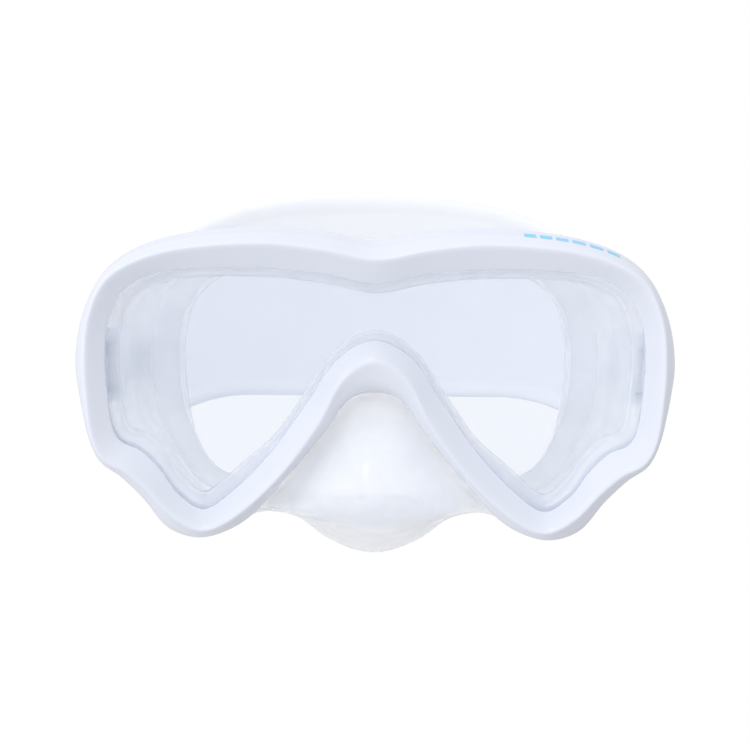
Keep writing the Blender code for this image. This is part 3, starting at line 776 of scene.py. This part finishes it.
def lens_pane(mask, spokes):
    low, high = (mask.place(corner).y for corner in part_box("lens"))
    inner = LENS_OVERLAP - LENS_CHAMFER
    corners = [(inner, low), (LENS_OVERLAP, low + LENS_CHAMFER),
               (LENS_OVERLAP, high - LENS_CHAMFER), (inner, high)]
    rings = [[spoke.at(distance, depth) for spoke in spokes] for distance, depth in corners]
    mesh = loft("lens_pane", rings, closed_path=False, caps=True)
    add_piece(mask, "lens_pane", mesh, "mask", "lens", ["lens"], sharp=30.0, weighted=False,
              clear=True)


def retainer(mask, spokes):
    """The inner frame that clamps the skirt, with a lug for each buckle."""
    def section(spoke):
        edge = spoke.width - RETAINER_EDGE
        corners = [(RETAINER_INSIDE, RETAINER_FRONT, 0.2), (edge, RETAINER_FRONT, 0.2),
                   (edge, RETAINER_BACK - RETAINER_CHAMFER, 0.3),
                   (edge - RETAINER_CHAMFER, RETAINER_BACK, 0.3),
                   (RETAINER_INSIDE, RETAINER_BACK, 0.25)]
        return [spoke.at(distance, depth)
                for distance, depth in rounded(corners, RETAINER_CORNER_STEPS)]

    ring = loft("ring", [section(spoke) for spoke in spokes])
    lugs, holes = [], []
    for side in SIDES.values():
        block = rectangle(LUG_BLOCK_Y, (-LUG_BLOCK_HALF_HEIGHT, LUG_BLOCK_HALF_HEIGHT))
        lugs.append(plate("block", side, LUG_BLOCK_X, block, BLOCK_BEVEL))
        for x in (LUG_INNER, LUG_OUTER):
            lugs.append(plate("lug", side, x, tab_outline(LUG_ROOT, LUG_HALF_HEIGHT), LUG_BEVEL))
        holes.append(pivot_bore(side, LUG_INNER[0], LUG_OUTER[1]))
    mesh = united("retainer", [ring, *lugs], holes)
    add_piece(mask, "retainer", mesh, "mask", "frame", ["inner_frame"])


def rectangle(u, v):
    """The outline of a rectangle between two U and two V."""
    return [(u[0], v[0]), (u[1], v[0]), (u[1], v[1]), (u[0], v[1])]


def plate(name, side, x, outline, bevel):
    """A plate across X with rounded edges; its outline is (y, z from the pivot's height)."""
    ends = sorted(side * value for value in x)
    return prism(name, outline, ends, lambda u, v, w: Vector((w, u, PIVOT_Z + v)), bevel)


def pivot_bore(side, inner, outer):
    """A cutter for the pivot pin's hole, a little longer than what it goes through."""
    ends = (inner - CUT_BEYOND, outer + CUT_BEYOND)
    return turned("bore", [(side * x, HOLE_RADIUS) for x in ends], (0.0, PIVOT_Y, PIVOT_Z), "X")


def tab_outline(root_y, radius):
    """Straight from its root to a round end about the buckle's pivot."""
    heading = math.copysign(1.0, PIVOT_Y - root_y)
    turns = [math.pi * (step / TAB_STEPS - 0.5) for step in range(TAB_STEPS + 1)]
    round_end = [(PIVOT_Y + heading * radius * math.cos(a), radius * math.sin(a)) for a in turns]
    return [(root_y, -radius), *round_end, (root_y, radius)]


def accent(mask, rim_curve):
    """A row of plain sky-blue slanted dashes, printed on the rim's top flank."""
    def flank_point(place, share, lift):
        spoke = rim_curve(place, 1)
        crest = Vector((spoke.bevel + CREST_WIDTH, 0.0))
        edge = Vector((spoke.width, FRAME_EDGE_Y))
        bulge = (crest + edge) / 2 + Vector((1.0, -1.0)) * level_at(place, FLANK_BULGE)
        start, end = (crest, bulge) if share < 0.5 else (bulge, edge)
        outward = Vector((end.y - start.y, start.x - end.x)).normalized()
        spot = start.lerp(end, 2 * share if share < 0.5 else 2 * share - 1) + outward * lift
        return spoke.at(spot.x, spot.y)

    low, high = ACCENT_SHARES
    for dash in range(ACCENT_DASHES):
        start = ACCENT_START + dash * ACCENT_PITCH
        rings = []
        for step in range(ACCENT_STEPS + 1):
            place = start + ACCENT_LENGTH * step / ACCENT_STEPS
            corners = ((low, -ACCENT_PROUD), (low, ACCENT_PROUD), (high, ACCENT_PROUD),
                       (high, -ACCENT_PROUD))
            rings.append([flank_point(place + ACCENT_SLANT * share, share, lift)
                          for share, lift in corners])
        mesh = loft("dash", rings, closed_path=False, caps=True)
        add_piece(mask, "accent_dash_" + str(dash + 1), mesh, "mask", "accent")


# ---------------------------------------------------------------- skirt

def bottom_edge(place, side):
    """The nose pocket's lower front edge, from the V's foot to the middle."""
    run = 1.0 - min(max((place - WRAP_END) / (1.0 - WRAP_END), 0.0), 1.0)
    return Vector((side * POCKET_HALF_WIDTH * run, 0.0, POCKET_BOTTOM - POCKET_SAG * run * run))


def pocket_points(spoke):
    """Behind the retainer, round the V's edge and over the nose pocket to its underside."""
    beyond = 1.0 - min(max((spoke.place - POCKET_SPREAD) / (1.0 - POCKET_SPREAD), 0.0), 1.0)
    fullness = 1.0 - beyond * beyond
    emerged = smoothstep(spoke.place, *POCKET_EMERGES)
    root_y = between(POCKET_ROOT_Y, emerged)
    edge = spoke.at(spoke.width + between(POCKET_GAP, emerged), root_y)
    points = [spoke.at(WRAP_SHARE * spoke.width, WRAP_Y), edge]
    for share, stand, drop in POCKET_RINGS:
        point = edge.lerp(bottom_edge(spoke.place, spoke.side), share)
        point.y = root_y - stand * fullness
        point.z -= drop * fullness
        points.append(point)
    points.append(points[-1].lerp(spoke.seal, POCKET_UNDERSIDE))
    return points


def wall_inset(place):
    """How far inside the lens opening the skirt's wall stands: less along the V."""
    return between((WALL_INSET, V_WALL_INSET), smoothstep(place, *V_SPAN))


def wall_line(spoke):
    """From the root behind the retainer to the face seal, smoothed."""
    root = spoke.at(-wall_inset(spoke.place), WALL_START_Y)
    wall = [root.lerp(spoke.seal, share) for share in WALL_SHARES]
    wrap = smoothstep(spoke.place, WRAP_START, WRAP_END)
    wall = [plain.lerp(pocket, wrap) for plain, pocket in zip(wall, pocket_points(spoke))]
    return smooth_line([root, *wall, spoke.seal], WALL_STEPS)


def skirt_walls(spokes):
    """The wall line at every spoke, evened out along the rim more and more away from the root."""
    walls = [wall_line(spoke) for spoke in spokes]
    shares = [EVENING * smoothstep(i, EVENING_START, EVENING_START + EVENING_RUN)
              for i in range(len(walls[0]))]
    for _ in range(EVENING_PASSES):
        neighbours = zip(walls[-1:] + walls[:-1], walls, walls[1:] + walls[:1])
        walls = [[point.lerp((before[i] + after[i]) / 2, shares[i]) for i, point in enumerate(wall)]
                 for before, wall, after in neighbours]
    return walls


def seal_inward(spokes, i):
    """Across the seal line, towards the inside of the mask."""
    along = spokes[(i + 1) % len(spokes)].seal - spokes[i - 1].seal
    return -Vector((-along.z, 0.0, along.x)).normalized()


def lip_curl(start, inward, reach, rise, steps):
    """Points of a lip that leaves the wall and curls over towards the face's middle."""
    return [start + inward * reach * (i / steps) + Vector((0.0, rise * (i / steps) ** 2, 0.0))
            for i in range(1, steps + 1)]


def shell(name, rings, thickness_at):
    """An open loft given a thickness, in millimetres, that varies from ring to ring point."""
    mesh = loft(name, rings, closed_rings=False)
    thing = in_scene(name, mesh)
    group = thing.vertex_groups.new(name="thickness")
    count = len(rings[0])
    for i in range(count):
        group.add(list(range(i, len(mesh.vertices), count)), thickness_at(i) / THICKEST, "REPLACE")
    solid = thing.modifiers.new("thickness", "SOLIDIFY")
    solid.thickness = THICKEST
    solid.offset = 0.0
    solid.vertex_group = group.name
    solid.thickness_vertex_group = 0.0
    return finished_mesh(thing)


def skirt(mask, spokes, walls):
    """Clear silicone: clamped flange, side walls, nose pocket and the outer face seal."""
    rings = []
    for i, (spoke, wall) in enumerate(zip(spokes, walls)):
        inset = wall_inset(spoke.place)
        flange = [spoke.at(FLANGE_REACH, FLANGE_Y), spoke.at(0.0, FLANGE_Y),
                  spoke.at(FLANGE_ROUNDING - inset, FLANGE_Y),
                  spoke.at(-inset, FLANGE_Y + FLANGE_ROUNDING),
                  spoke.at(-inset, (FLANGE_Y + WALL_START_Y) / 2)]
        inward = seal_inward(spokes, i)
        lip = lip_curl(wall[-1], inward, *LIP_REACH, LIP_CURL_STEPS)
        rings.append(flange + wall + lip)
    count = len(rings[0])
    seal_index = count - 1 - LIP_CURL_STEPS

    def thickness_at(i):
        thinning = smoothstep(i, seal_index - LIP_CURL_STEPS, count - 1)
        bead = SEAL_BEAD if i == seal_index else 0.0
        return between((SKIRT_THICKNESS, LIP_THICKNESS), thinning) + bead

    mesh = shell("skirt_body", rings, thickness_at)
    add_piece(mask, "skirt_body", mesh, "mask", "skirt", ["skirt"], sharp=60.0, weighted=False,
              clear=True)


def inner_lip(mask, spokes, walls):
    """The second, feathered seal lip inside the outer one."""
    rings = []
    for i, (spoke, wall) in enumerate(zip(spokes, walls)):
        start = wall[round(INNER_LIP_SHARE * (len(wall) - 1))]
        inward = seal_inward(spokes, i)
        reach = level_at(spoke.place, INNER_LIP_REACH)
        rings.append([start] + lip_curl(start, inward, reach, INNER_LIP_RISE, LIP_CURL_STEPS))

    def thickness_at(i):
        if i == LIP_CURL_STEPS:
            return INNER_LIP_BEAD
        return between((INNER_LIP_ROOT, LIP_THICKNESS), smoothstep(i, 0, LIP_CURL_STEPS - 1))

    mesh = shell("skirt_inner_lip", rings, thickness_at)
    add_piece(mask, "skirt_inner_lip", mesh, "mask", "skirt", sharp=60.0, weighted=False,
              clear=True)


# ---------------------------------------------------------------- buckles

def pivot_pin(mask, side_name, side):
    low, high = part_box("pivot_pin_" + side_name)
    inner, outer = sorted((mask.place(low).x * side, mask.place(high).x * side))
    profile = [(inner, PIN_RADIUS - PIN_CHAMFER), (inner + PIN_CHAMFER, PIN_RADIUS)]
    profile += [(outer - behind, radius) for behind, radius in PIN_HEAD]
    profile = [(side * along, radius) for along, radius in profile]
    mesh = turned("pivot_pin", profile, (0.0, PIVOT_Y, PIVOT_Z), "X")
    add_piece(mask, "swivel_pin_" + side_name, mesh, "mask", "steel", ["pivot_pin_" + side_name])


def upright(name, side, outline, z, bevel=0.0):
    """A prism along Z, between two heights above the pivot; its outline is (x, y)."""
    return prism(name, outline, z, lambda u, v, w: Vector((side * u, v, PIVOT_Z + w)), bevel)


def buckle(mask, side_name, side):
    """Two cheeks, the web between them and the tongue that swivels on the rim's pin."""
    outside = CHEEK_INSIDE + CHEEK_THICKNESS
    outline = rounded([(*corner, CHEEK_ROUNDING) for corner in CHEEK_OUTLINE])
    parts = [upright("cheek", side, outline, ends, CHEEK_BEVEL)
             for ends in ((CHEEK_INSIDE, outside), (-outside, -CHEEK_INSIDE))]
    height = CHEEK_INSIDE + WEB_OVERLAP
    parts.append(plate("web", side, WEB_X, rectangle(WEB_Y, (-height, height)), WEB_BEVEL))
    tongue = tab_outline(WEB_Y[0] + TONGUE_OVERLAP, KNUCKLE_RADIUS)
    parts.append(plate("tongue", side, TONGUE_X, tongue, TONGUE_BEVEL))
    holes = [pivot_bore(side, *TONGUE_X)]
    for node in ("roller_pin_" + side_name, "lever_pin_" + side_name):
        radius = pin_size(node)[0] + PRESS_SLACK
        ends = (-outside - CUT_BEYOND, outside + CUT_BEYOND)
        holes.append(turned("hole", [(z, radius) for z in ends], mask.place(box_centre(node)), "Z"))
    mesh = united("buckle", parts, holes)
    add_piece(mask, "buckle_" + side_name, mesh, "strap", "buckle", ["buckle_body_" + side_name])


def pin_size(node):
    """The radius and half length of an upright pin or roller, in millimetres."""
    low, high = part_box(node)
    return (high.y - low.y) / 2 / MM, (high.z - low.z) / 2 / MM


def cheek_pin(mask, name, node):
    """A straight pin with chamfered ends, through both cheeks."""
    radius, half = pin_size(node)
    chamfer = radius * AXLE_CHAMFER
    end = radius * AXLE_END
    profile = [(-half, end), (-half, radius - chamfer), (-half + chamfer, radius),
               (half - chamfer, radius), (half, radius - chamfer), (half, end)]
    mesh = turned(name, profile, mask.place(box_centre(node)), "Z")
    add_piece(mask, name, mesh, "strap", "steel", [node])


def roller(mask, side_name):
    """The strap's roller, with a fine grip knurl between plain ends."""
    node = "strap_roller_" + side_name
    centre = mask.place(box_centre(node))
    radius, half = pin_size(node)
    bore = pin_size("roller_pin_" + side_name)[0] + ROLLER_SLACK
    segments = ROLLER_TEETH * len(KNURL)
    profile = [(-half, bore, False)]
    profile += [(inside - half, radius - below, knurled) for inside, below, knurled in ROLLER_END]
    profile += [(-along, reach, knurled) for along, reach, knurled in reversed(profile)]
    rings = []
    for along, reach, knurled in profile:
        ring = []
        for i in range(segments):
            angle = 2 * math.pi * i / segments
            size = reach * (KNURL[i % len(KNURL)] if knurled else 1.0)
            ring.append(centre + Vector((size * math.cos(angle), size * math.sin(angle), along)))
        rings.append(ring)
    mesh = loft("roller", rings)
    add_piece(mask, "roller_" + side_name, mesh, "roller_" + side_name, "buckle", [node],
              sharp=50.0)


def lever(mask, side_name, side):
    """The release lever: a press plate with grip ribs, a pawl tooth and its barrel."""
    inner, outer = LEVER_PLATE_X
    front, back = LEVER_PLATE_Y
    height = LEVER_HALF_HEIGHT
    near, far = LEVER_ROUNDINGS
    outline = rounded([(front, -height, near), (back, -height, far),
                       (back, height, far), (front, height, near)], LEVER_CORNER_STEPS)
    pad = prism("pad", outline, LEVER_PLATE_X, lambda u, v, w: Vector((side * w, u, PIVOT_Z + v)),
                LEVER_BEVEL)
    pin = "lever_pin_" + side_name
    barrel_centre = mask.place(box_centre(pin))
    narrow = BARREL_RADIUS - BARREL_CHAMFER
    barrel = turned("barrel", [(-height, narrow), (-height + BARREL_CHAMFER, BARREL_RADIUS),
                               (height - BARREL_CHAMFER, BARREL_RADIUS), (height, narrow)],
                    barrel_centre, "Z")
    tip, start, steep = LEVER_TOOTH
    root = inner + TOOTH_OVERLAP
    tooth = upright("tooth", side, [(tip, steep), (root, start), (root, steep + TOOTH_LEAN)],
                    (-height, height), TOOTH_BEVEL)
    half_width = height - RIB_SHORTER
    turns = [math.pi * k / RIB_STEPS for k in range(RIB_STEPS + 1)]
    ribs = []
    for i in range(LEVER_RIBS):
        y = LEVER_RIB_START + i * LEVER_RIB_PITCH
        hump = [(outer - RIB_SUNK + RIB_RADIUS * math.sin(a), y + RIB_RADIUS * math.cos(a))
                for a in turns]
        ribs.append(upright("rib", side, hump, (-half_width, half_width), RIB_BEVEL))
    pocket = upright("pocket", side, rectangle(SPRING_POCKET_X, SPRING_POCKET_Y),
                     (-SPRING_POCKET_HALF_HEIGHT, SPRING_POCKET_HALF_HEIGHT))
    bore_radius = pin_size(pin)[0] + LEVER_SLACK
    ends = (-height - CUT_BEYOND, height + CUT_BEYOND)
    bore = turned("bore", [(z, bore_radius) for z in ends], barrel_centre, "Z")
    mesh = united("lever", [pad, barrel, tooth, *ribs], [pocket, bore])
    add_piece(mask, "press_lever_" + side_name, mesh, "lever_" + side_name, "buckle",
              ["release_lever_" + side_name])


def spring(mask, side_name, side):
    """A torsion spring of round wire about the lever's pin, with its two legs."""
    centre = mask.place(box_centre("lever_pin_" + side_name))
    half_height = SPRING_TURNS * SPRING_PITCH / 2
    points = [Vector((side * SPRING_LEVER_LEG[0], SPRING_LEVER_LEG[1], -half_height))]
    steps = round(SPRING_TURNS * SPRING_STEPS_PER_TURN)
    for i in range(steps + 1):
        turns = i / SPRING_STEPS_PER_TURN
        angle = math.pi + 2 * math.pi * turns
        points.append(Vector((side * SPRING_RADIUS * math.cos(angle),
                              SPRING_RADIUS * math.sin(angle),
                              SPRING_PITCH * turns - half_height)))
    points.append(Vector((side * SPRING_WEB_LEG[0], SPRING_WEB_LEG[1], half_height)))
    rings = []
    for i, point in enumerate(points):
        along = points[min(i + 1, len(points) - 1)] - points[max(i - 1, 0)]
        turn = along.to_track_quat("Z", "Y")
        circle = [Vector((math.cos(a), math.sin(a), 0.0)) * SPRING_WIRE_RADIUS
                  for a in (2 * math.pi * k / WIRE_SIDES for k in range(WIRE_SIDES))]
        rings.append([centre + point + turn @ offset for offset in circle])
    mesh = loft("spring", rings, closed_path=False, caps=True)
    add_piece(mask, "torsion_spring_" + side_name, mesh, "lever_" + side_name, "steel",
              ["lever_spring_" + side_name])


# ---------------------------------------------------------------- strap

def loop_point(degrees, offset=0.0):
    """Plan view of the strap's middle line, from the right roller (0) to the back (90)."""
    angle = math.radians(degrees)
    return Vector(((STRAP_SIDE_X + offset) * math.cos(angle),
                   LOOP_CENTRE_Y + (LOOP_HALF_DEPTH + offset) * math.sin(angle)))


def strap_stations():
    """Right half of the strap, tail end first: plan point, middle z, half height, tail share."""
    fold = STRAP_THICKNESS + STRAP_GAP
    stations = []
    for step in range(TAIL_STEPS + 1):
        degrees = between((TAIL_END_ANGLE, TAIL_JOIN_ANGLE), step / TAIL_STEPS)
        stations.append((loop_point(degrees, fold), 0.0, STRAP_HALF_HEIGHT, 1.0))
    turn = ROLLER_X - STRAP_SIDE_X
    join = loop_point(TAIL_JOIN_ANGLE, fold)
    heading = (join - loop_point(TAIL_JOIN_ANGLE + 1, fold)).normalized()
    outside = Vector((ROLLER_X + turn, ROLLER_Y))
    handles = (join, join + heading * TAIL_HANDLE, outside + Vector((0.0, TAIL_HANDLE)), outside)
    for step in range(1, BEND_STEPS):
        share = step / BEND_STEPS
        weights = ((1 - share) ** 3, 3 * share * (1 - share) ** 2, 3 * share ** 2 * (1 - share),
                   share ** 3)
        point = sum((handle * weight for handle, weight in zip(handles, weights)),
                    Vector((0.0, 0.0)))
        stations.append((point, 0.0, STRAP_HALF_HEIGHT, 1.0))
    for step in range(BEND_STEPS):
        angle = math.pi * step / BEND_STEPS
        point = Vector((ROLLER_X + turn * math.cos(angle), ROLLER_Y - turn * math.sin(angle)))
        stations.append((point, 0.0, STRAP_HALF_HEIGHT, 1.0))
    for step in range(LOOP_STEPS + 1):
        degrees = 90.0 * step / LOOP_STEPS
        rise = PAD_RISE * smoothstep(degrees, *PAD_RISE_SPAN)
        shoulder = smoothstep(degrees, *PAD_SHOULDER_SPAN)
        crown = smoothstep(degrees, *PAD_CROWN_SPAN)
        half = between((STRAP_HALF_HEIGHT, PAD_SHOULDER_HALF_HEIGHT), shoulder)
        half += (PAD_HALF_HEIGHT - PAD_SHOULDER_HALF_HEIGHT) * crown
        ladder = 1.0 if degrees < TAIL_JOIN_ANGLE else 0.0
        stations.append((loop_point(degrees), rise, half, ladder))
    return stations


def strap(mask):
    """One moulded silicone band: ladder teeth at its tails, a broad pad with a raised border."""
    right = strap_stations()
    mirrored = [(Vector((-p.x, p.y)), z, half, ladder)
                for p, z, half, ladder in reversed(right[:-1])]
    stations = right + mirrored
    run = [0.0]
    for first, second in zip(stations, stations[1:]):
        run.append(run[-1] + (second[0] - first[0]).length)
    rings = []
    for i, (point, rise, half, ladder) in enumerate(stations):
        ahead, behind = stations[min(i + 1, len(stations) - 1)], stations[max(i - 1, 0)]
        along = (ahead[0] - behind[0]).normalized()
        outward = Vector((-along.y, along.x))
        from_end = min(run[i], run[-1] - run[i])
        end_taper = math.sqrt(max(1.0 - (1.0 - min(from_end / TAIL_ROUND, 1.0)) ** 2,
                                  TAIL_LEAST ** 2))
        rings.append(strap_section(point, outward, rise, half * end_taper, ladder, from_end))
    mesh = loft("strap_band", rings, closed_path=False, caps=True)
    add_piece(mask, "strap_band", mesh, "strap", "strap", ["strap"], sharp=50.0, weighted=False)


def strap_section(point, outward, rise, half, ladder, from_end):
    """A closed ring round the strap: outer face bottom to top, then inner face top to bottom."""
    thick = STRAP_THICKNESS / 2
    wide = smoothstep(half, STRAP_HALF_HEIGHT + PANEL_START, PAD_SHOULDER_HALF_HEIGHT)
    wave = math.cos(2 * math.pi * from_end / LADDER_PITCH)
    groove = ladder * LADDER_DEPTH * smoothstep(wave, *LADDER_SHARPNESS)
    ring = []
    faces = [(1, way / STRAP_FACE_STEPS) for way in range(-STRAP_FACE_STEPS, STRAP_FACE_STEPS + 1)]
    faces += [(-1, -share) for _, share in faces]
    for face, share in faces:
        edge_distance = half * (1.0 - abs(share))
        rounding = min(edge_distance / STRAP_EDGE_RADIUS, 1.0)
        depth = thick * math.sqrt(max(1.0 - (1.0 - rounding) ** 2, 0.0))
        if face > 0:
            depth -= groove * smoothstep(edge_distance, *LADDER_EDGE)
            depth -= wide * PANEL_DEPTH * smoothstep(edge_distance, *PANEL_EDGE)
        flat = point + outward * face * depth
        ring.append(Vector((flat.x, flat.y, PIVOT_Z + rise + share * half)))
    return ring


def keeper(mask, side_name, side):
    """A soft loop with rounded edges that holds the strap's tail."""
    node = "strap_keeper_" + side_name
    centre = mask.place(box_centre(node))
    ahead = loop_point(KEEPER_ANGLE + 1) - loop_point(KEEPER_ANGLE - 1)
    along = Vector((side * ahead.x, ahead.y, 0.0)).normalized()
    across = Vector((along.y, -along.x, 0.0))
    half_length = KEEPER_LENGTH / 2
    profile = rounded([(0.0, -half_length, KEEPER_INNER_ROUNDING),
                       (KEEPER_WALL, -half_length, KEEPER_OUTER_ROUNDING),
                       (KEEPER_WALL, half_length, KEEPER_OUTER_ROUNDING),
                       (0.0, half_length, KEEPER_INNER_ROUNDING)])
    rings = []
    for quarter, (sign_u, sign_v) in enumerate(((1, 1), (-1, 1), (-1, -1), (1, -1))):
        root = Vector((sign_u * KEEPER_CORNER[0], sign_v * KEEPER_CORNER[1]))
        for step in range(KEEPER_CORNER_STEPS + 1):
            angle = math.pi / 2 * (quarter + step / KEEPER_CORNER_STEPS)
            heading = Vector((math.cos(angle), math.sin(angle)))
            spots = [(root + heading * (KEEPER_CORNER_RADIUS + out), run) for out, run in profile]
            rings.append([centre + across * spot.x + Vector((0.0, 0.0, spot.y)) + along * run
                          for spot, run in spots])
    mesh = loft("keeper", rings)
    add_piece(mask, "keeper_loop_" + side_name, mesh, "keeper_" + side_name, "strap", [node])


# ---------------------------------------------------------------- studio

def add_camera(mask):
    """At the photograph's angle: a little above the eye line, looking along +Y."""
    camera = in_scene("camera", bpy.data.cameras.new("camera"))
    elevation = math.radians(CAMERA_ELEVATION)
    back = Vector((0.0, -math.cos(elevation), math.sin(elevation)))
    roll = Matrix.Rotation(math.radians(CAMERA_ROLL), 4, "Z")
    aim = (-back).to_track_quat("-Z", "Y").to_matrix().to_4x4()
    camera.matrix_world = Matrix.Translation(mask.datum + back * CAMERA_DISTANCE) @ aim @ roll
    camera.data.lens = CAMERA_FOCAL
    camera.data.sensor_width = SENSOR_WIDTH
    bpy.context.scene.camera = camera


def add_floor():
    """A plain white table top, bright enough to melt into the backdrop."""
    def build(bm):
        bmesh.ops.create_grid(bm, x_segments=1, y_segments=1, size=FLOOR_HALF_SIZE)
    floor = in_scene("floor", new_mesh("floor", build))
    nodes = Nodes("floor_white")
    nodes.set(Base_Color=(*[FLOOR_ALBEDO] * 3, 1.0), Roughness=1.0, Specular_IOR_Level=0.0,
              Emission_Color=(1.0, 1.0, 1.0, 1.0), Emission_Strength=FLOOR_GLOW)
    floor.data.materials.append(nodes.material)
    floor.visible_diffuse = False
    floor.visible_glossy = False
    floor.visible_shadow = False


def add_world():
    """White behind the object; for lighting, a dome that is brighter towards the upper left."""
    world = bpy.data.worlds.new("studio")
    bpy.context.scene.world = world
    world.use_nodes = True
    tree = world.node_tree
    tree.nodes.clear()
    where = tree.nodes.new("ShaderNodeTexCoord")
    towards = tree.nodes.new("ShaderNodeVectorMath")
    towards.operation = "DOT_PRODUCT"
    towards.inputs[1].default_value = Vector(DOME_TOWARDS).normalized()
    level = tree.nodes.new("ShaderNodeMapRange")
    for key, number in (("From Min", -1.0), ("To Min", DOME_RANGE[0]), ("To Max", DOME_RANGE[1])):
        level.inputs[key].default_value = number
    dome = tree.nodes.new("ShaderNodeBackground")
    dome.inputs["Color"].default_value = (*DOME_COLOUR, 1.0)
    white = tree.nodes.new("ShaderNodeBackground")
    white.inputs["Color"].default_value = (1.0, 1.0, 1.0, 1.0)
    path = tree.nodes.new("ShaderNodeLightPath")
    chooser = tree.nodes.new("ShaderNodeMixShader")
    output = tree.nodes.new("ShaderNodeOutputWorld")
    for source, target in ((where.outputs["Generated"], towards.inputs[0]),
                           (towards.outputs["Value"], level.inputs["Value"]),
                           (level.outputs["Result"], dome.inputs["Strength"]),
                           (path.outputs["Is Camera Ray"], chooser.inputs["Fac"]),
                           (dome.outputs["Background"], chooser.inputs[1]),
                           (white.outputs["Background"], chooser.inputs[2]),
                           (chooser.outputs["Shader"], output.inputs["Surface"])):
        tree.links.new(source, target)


def add_softbox(name, place, aim, size, power):
    light = in_scene(name, bpy.data.lights.new(name, "AREA"))
    light.data.shape = "RECTANGLE"
    light.data.size, light.data.size_y = size
    light.data.energy = power
    light.data.color = DOME_COLOUR
    heading = (aim - Vector(place)).to_track_quat("-Z", "Y").to_matrix().to_4x4()
    light.matrix_world = Matrix.Translation(place) @ heading


def add_finishes(mask):
    """Each kind of surface: its material, and a slot name."""
    # Depths, in metres, over which the nose pocket's painted shade sets in.
    pocket_shade_span = [mask.datum.y + y * MM for y in POCKET_SHADE_DEPTHS]
    mask.finishes = {
        "frame": (moulded_plastic("white_polycarbonate", FRAME_WHITE, 0.2), "frame_plastic"),
        "buckle": (moulded_plastic("buckle_resin", BUCKLE_GREY, 0.34, peel_strength=0.5),
                   "buckle_plastic"),
        "accent": (moulded_plastic("sky_blue_print", PRINT_BLUE, 0.3), "frame_plastic"),
        "strap": (silicone("strap_silicone", STRAP_WHITE, 0.5), "strap_silicone"),
        "skirt": (clear_silicone("clear_silicone", *pocket_shade_span), "skirt_silicone"),
        "lens": (lens_glass("tempered_glass"), "lens_glass"),
        "steel": (steel("stainless_steel"), "stainless"),
    }


def main():
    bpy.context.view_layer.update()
    mask = Mask()
    add_camera(mask)
    add_finishes(mask)
    rim_curve = rim_curves()
    spokes = rim_spokes(rim_curve)
    rim(mask, spokes)
    lens_pane(mask, spokes)
    retainer(mask, spokes)
    accent(mask, rim_curve)
    walls = skirt_walls(spokes)
    skirt(mask, spokes, walls)
    inner_lip(mask, spokes, walls)
    strap(mask)
    for side_name, side in SIDES.items():
        pivot_pin(mask, side_name, side)
        buckle(mask, side_name, side)
        cheek_pin(mask, "roller_axle_" + side_name, "roller_pin_" + side_name)
        cheek_pin(mask, "lever_axle_" + side_name, "lever_pin_" + side_name)
        roller(mask, side_name)
        lever(mask, side_name, side)
        spring(mask, side_name, side)
        keeper(mask, side_name, side)
    add_floor()
    add_world()
    for name, (place, size, power) in SOFTBOXES.items():
        add_softbox(name, place, mask.datum, size, power)
    bpy.context.scene.view_settings.view_transform = "Standard"


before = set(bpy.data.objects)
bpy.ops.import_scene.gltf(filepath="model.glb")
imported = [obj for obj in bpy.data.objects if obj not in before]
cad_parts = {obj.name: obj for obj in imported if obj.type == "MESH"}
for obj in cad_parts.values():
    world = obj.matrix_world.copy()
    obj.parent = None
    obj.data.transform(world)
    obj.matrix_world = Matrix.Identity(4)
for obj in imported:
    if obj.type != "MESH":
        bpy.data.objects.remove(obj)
main()
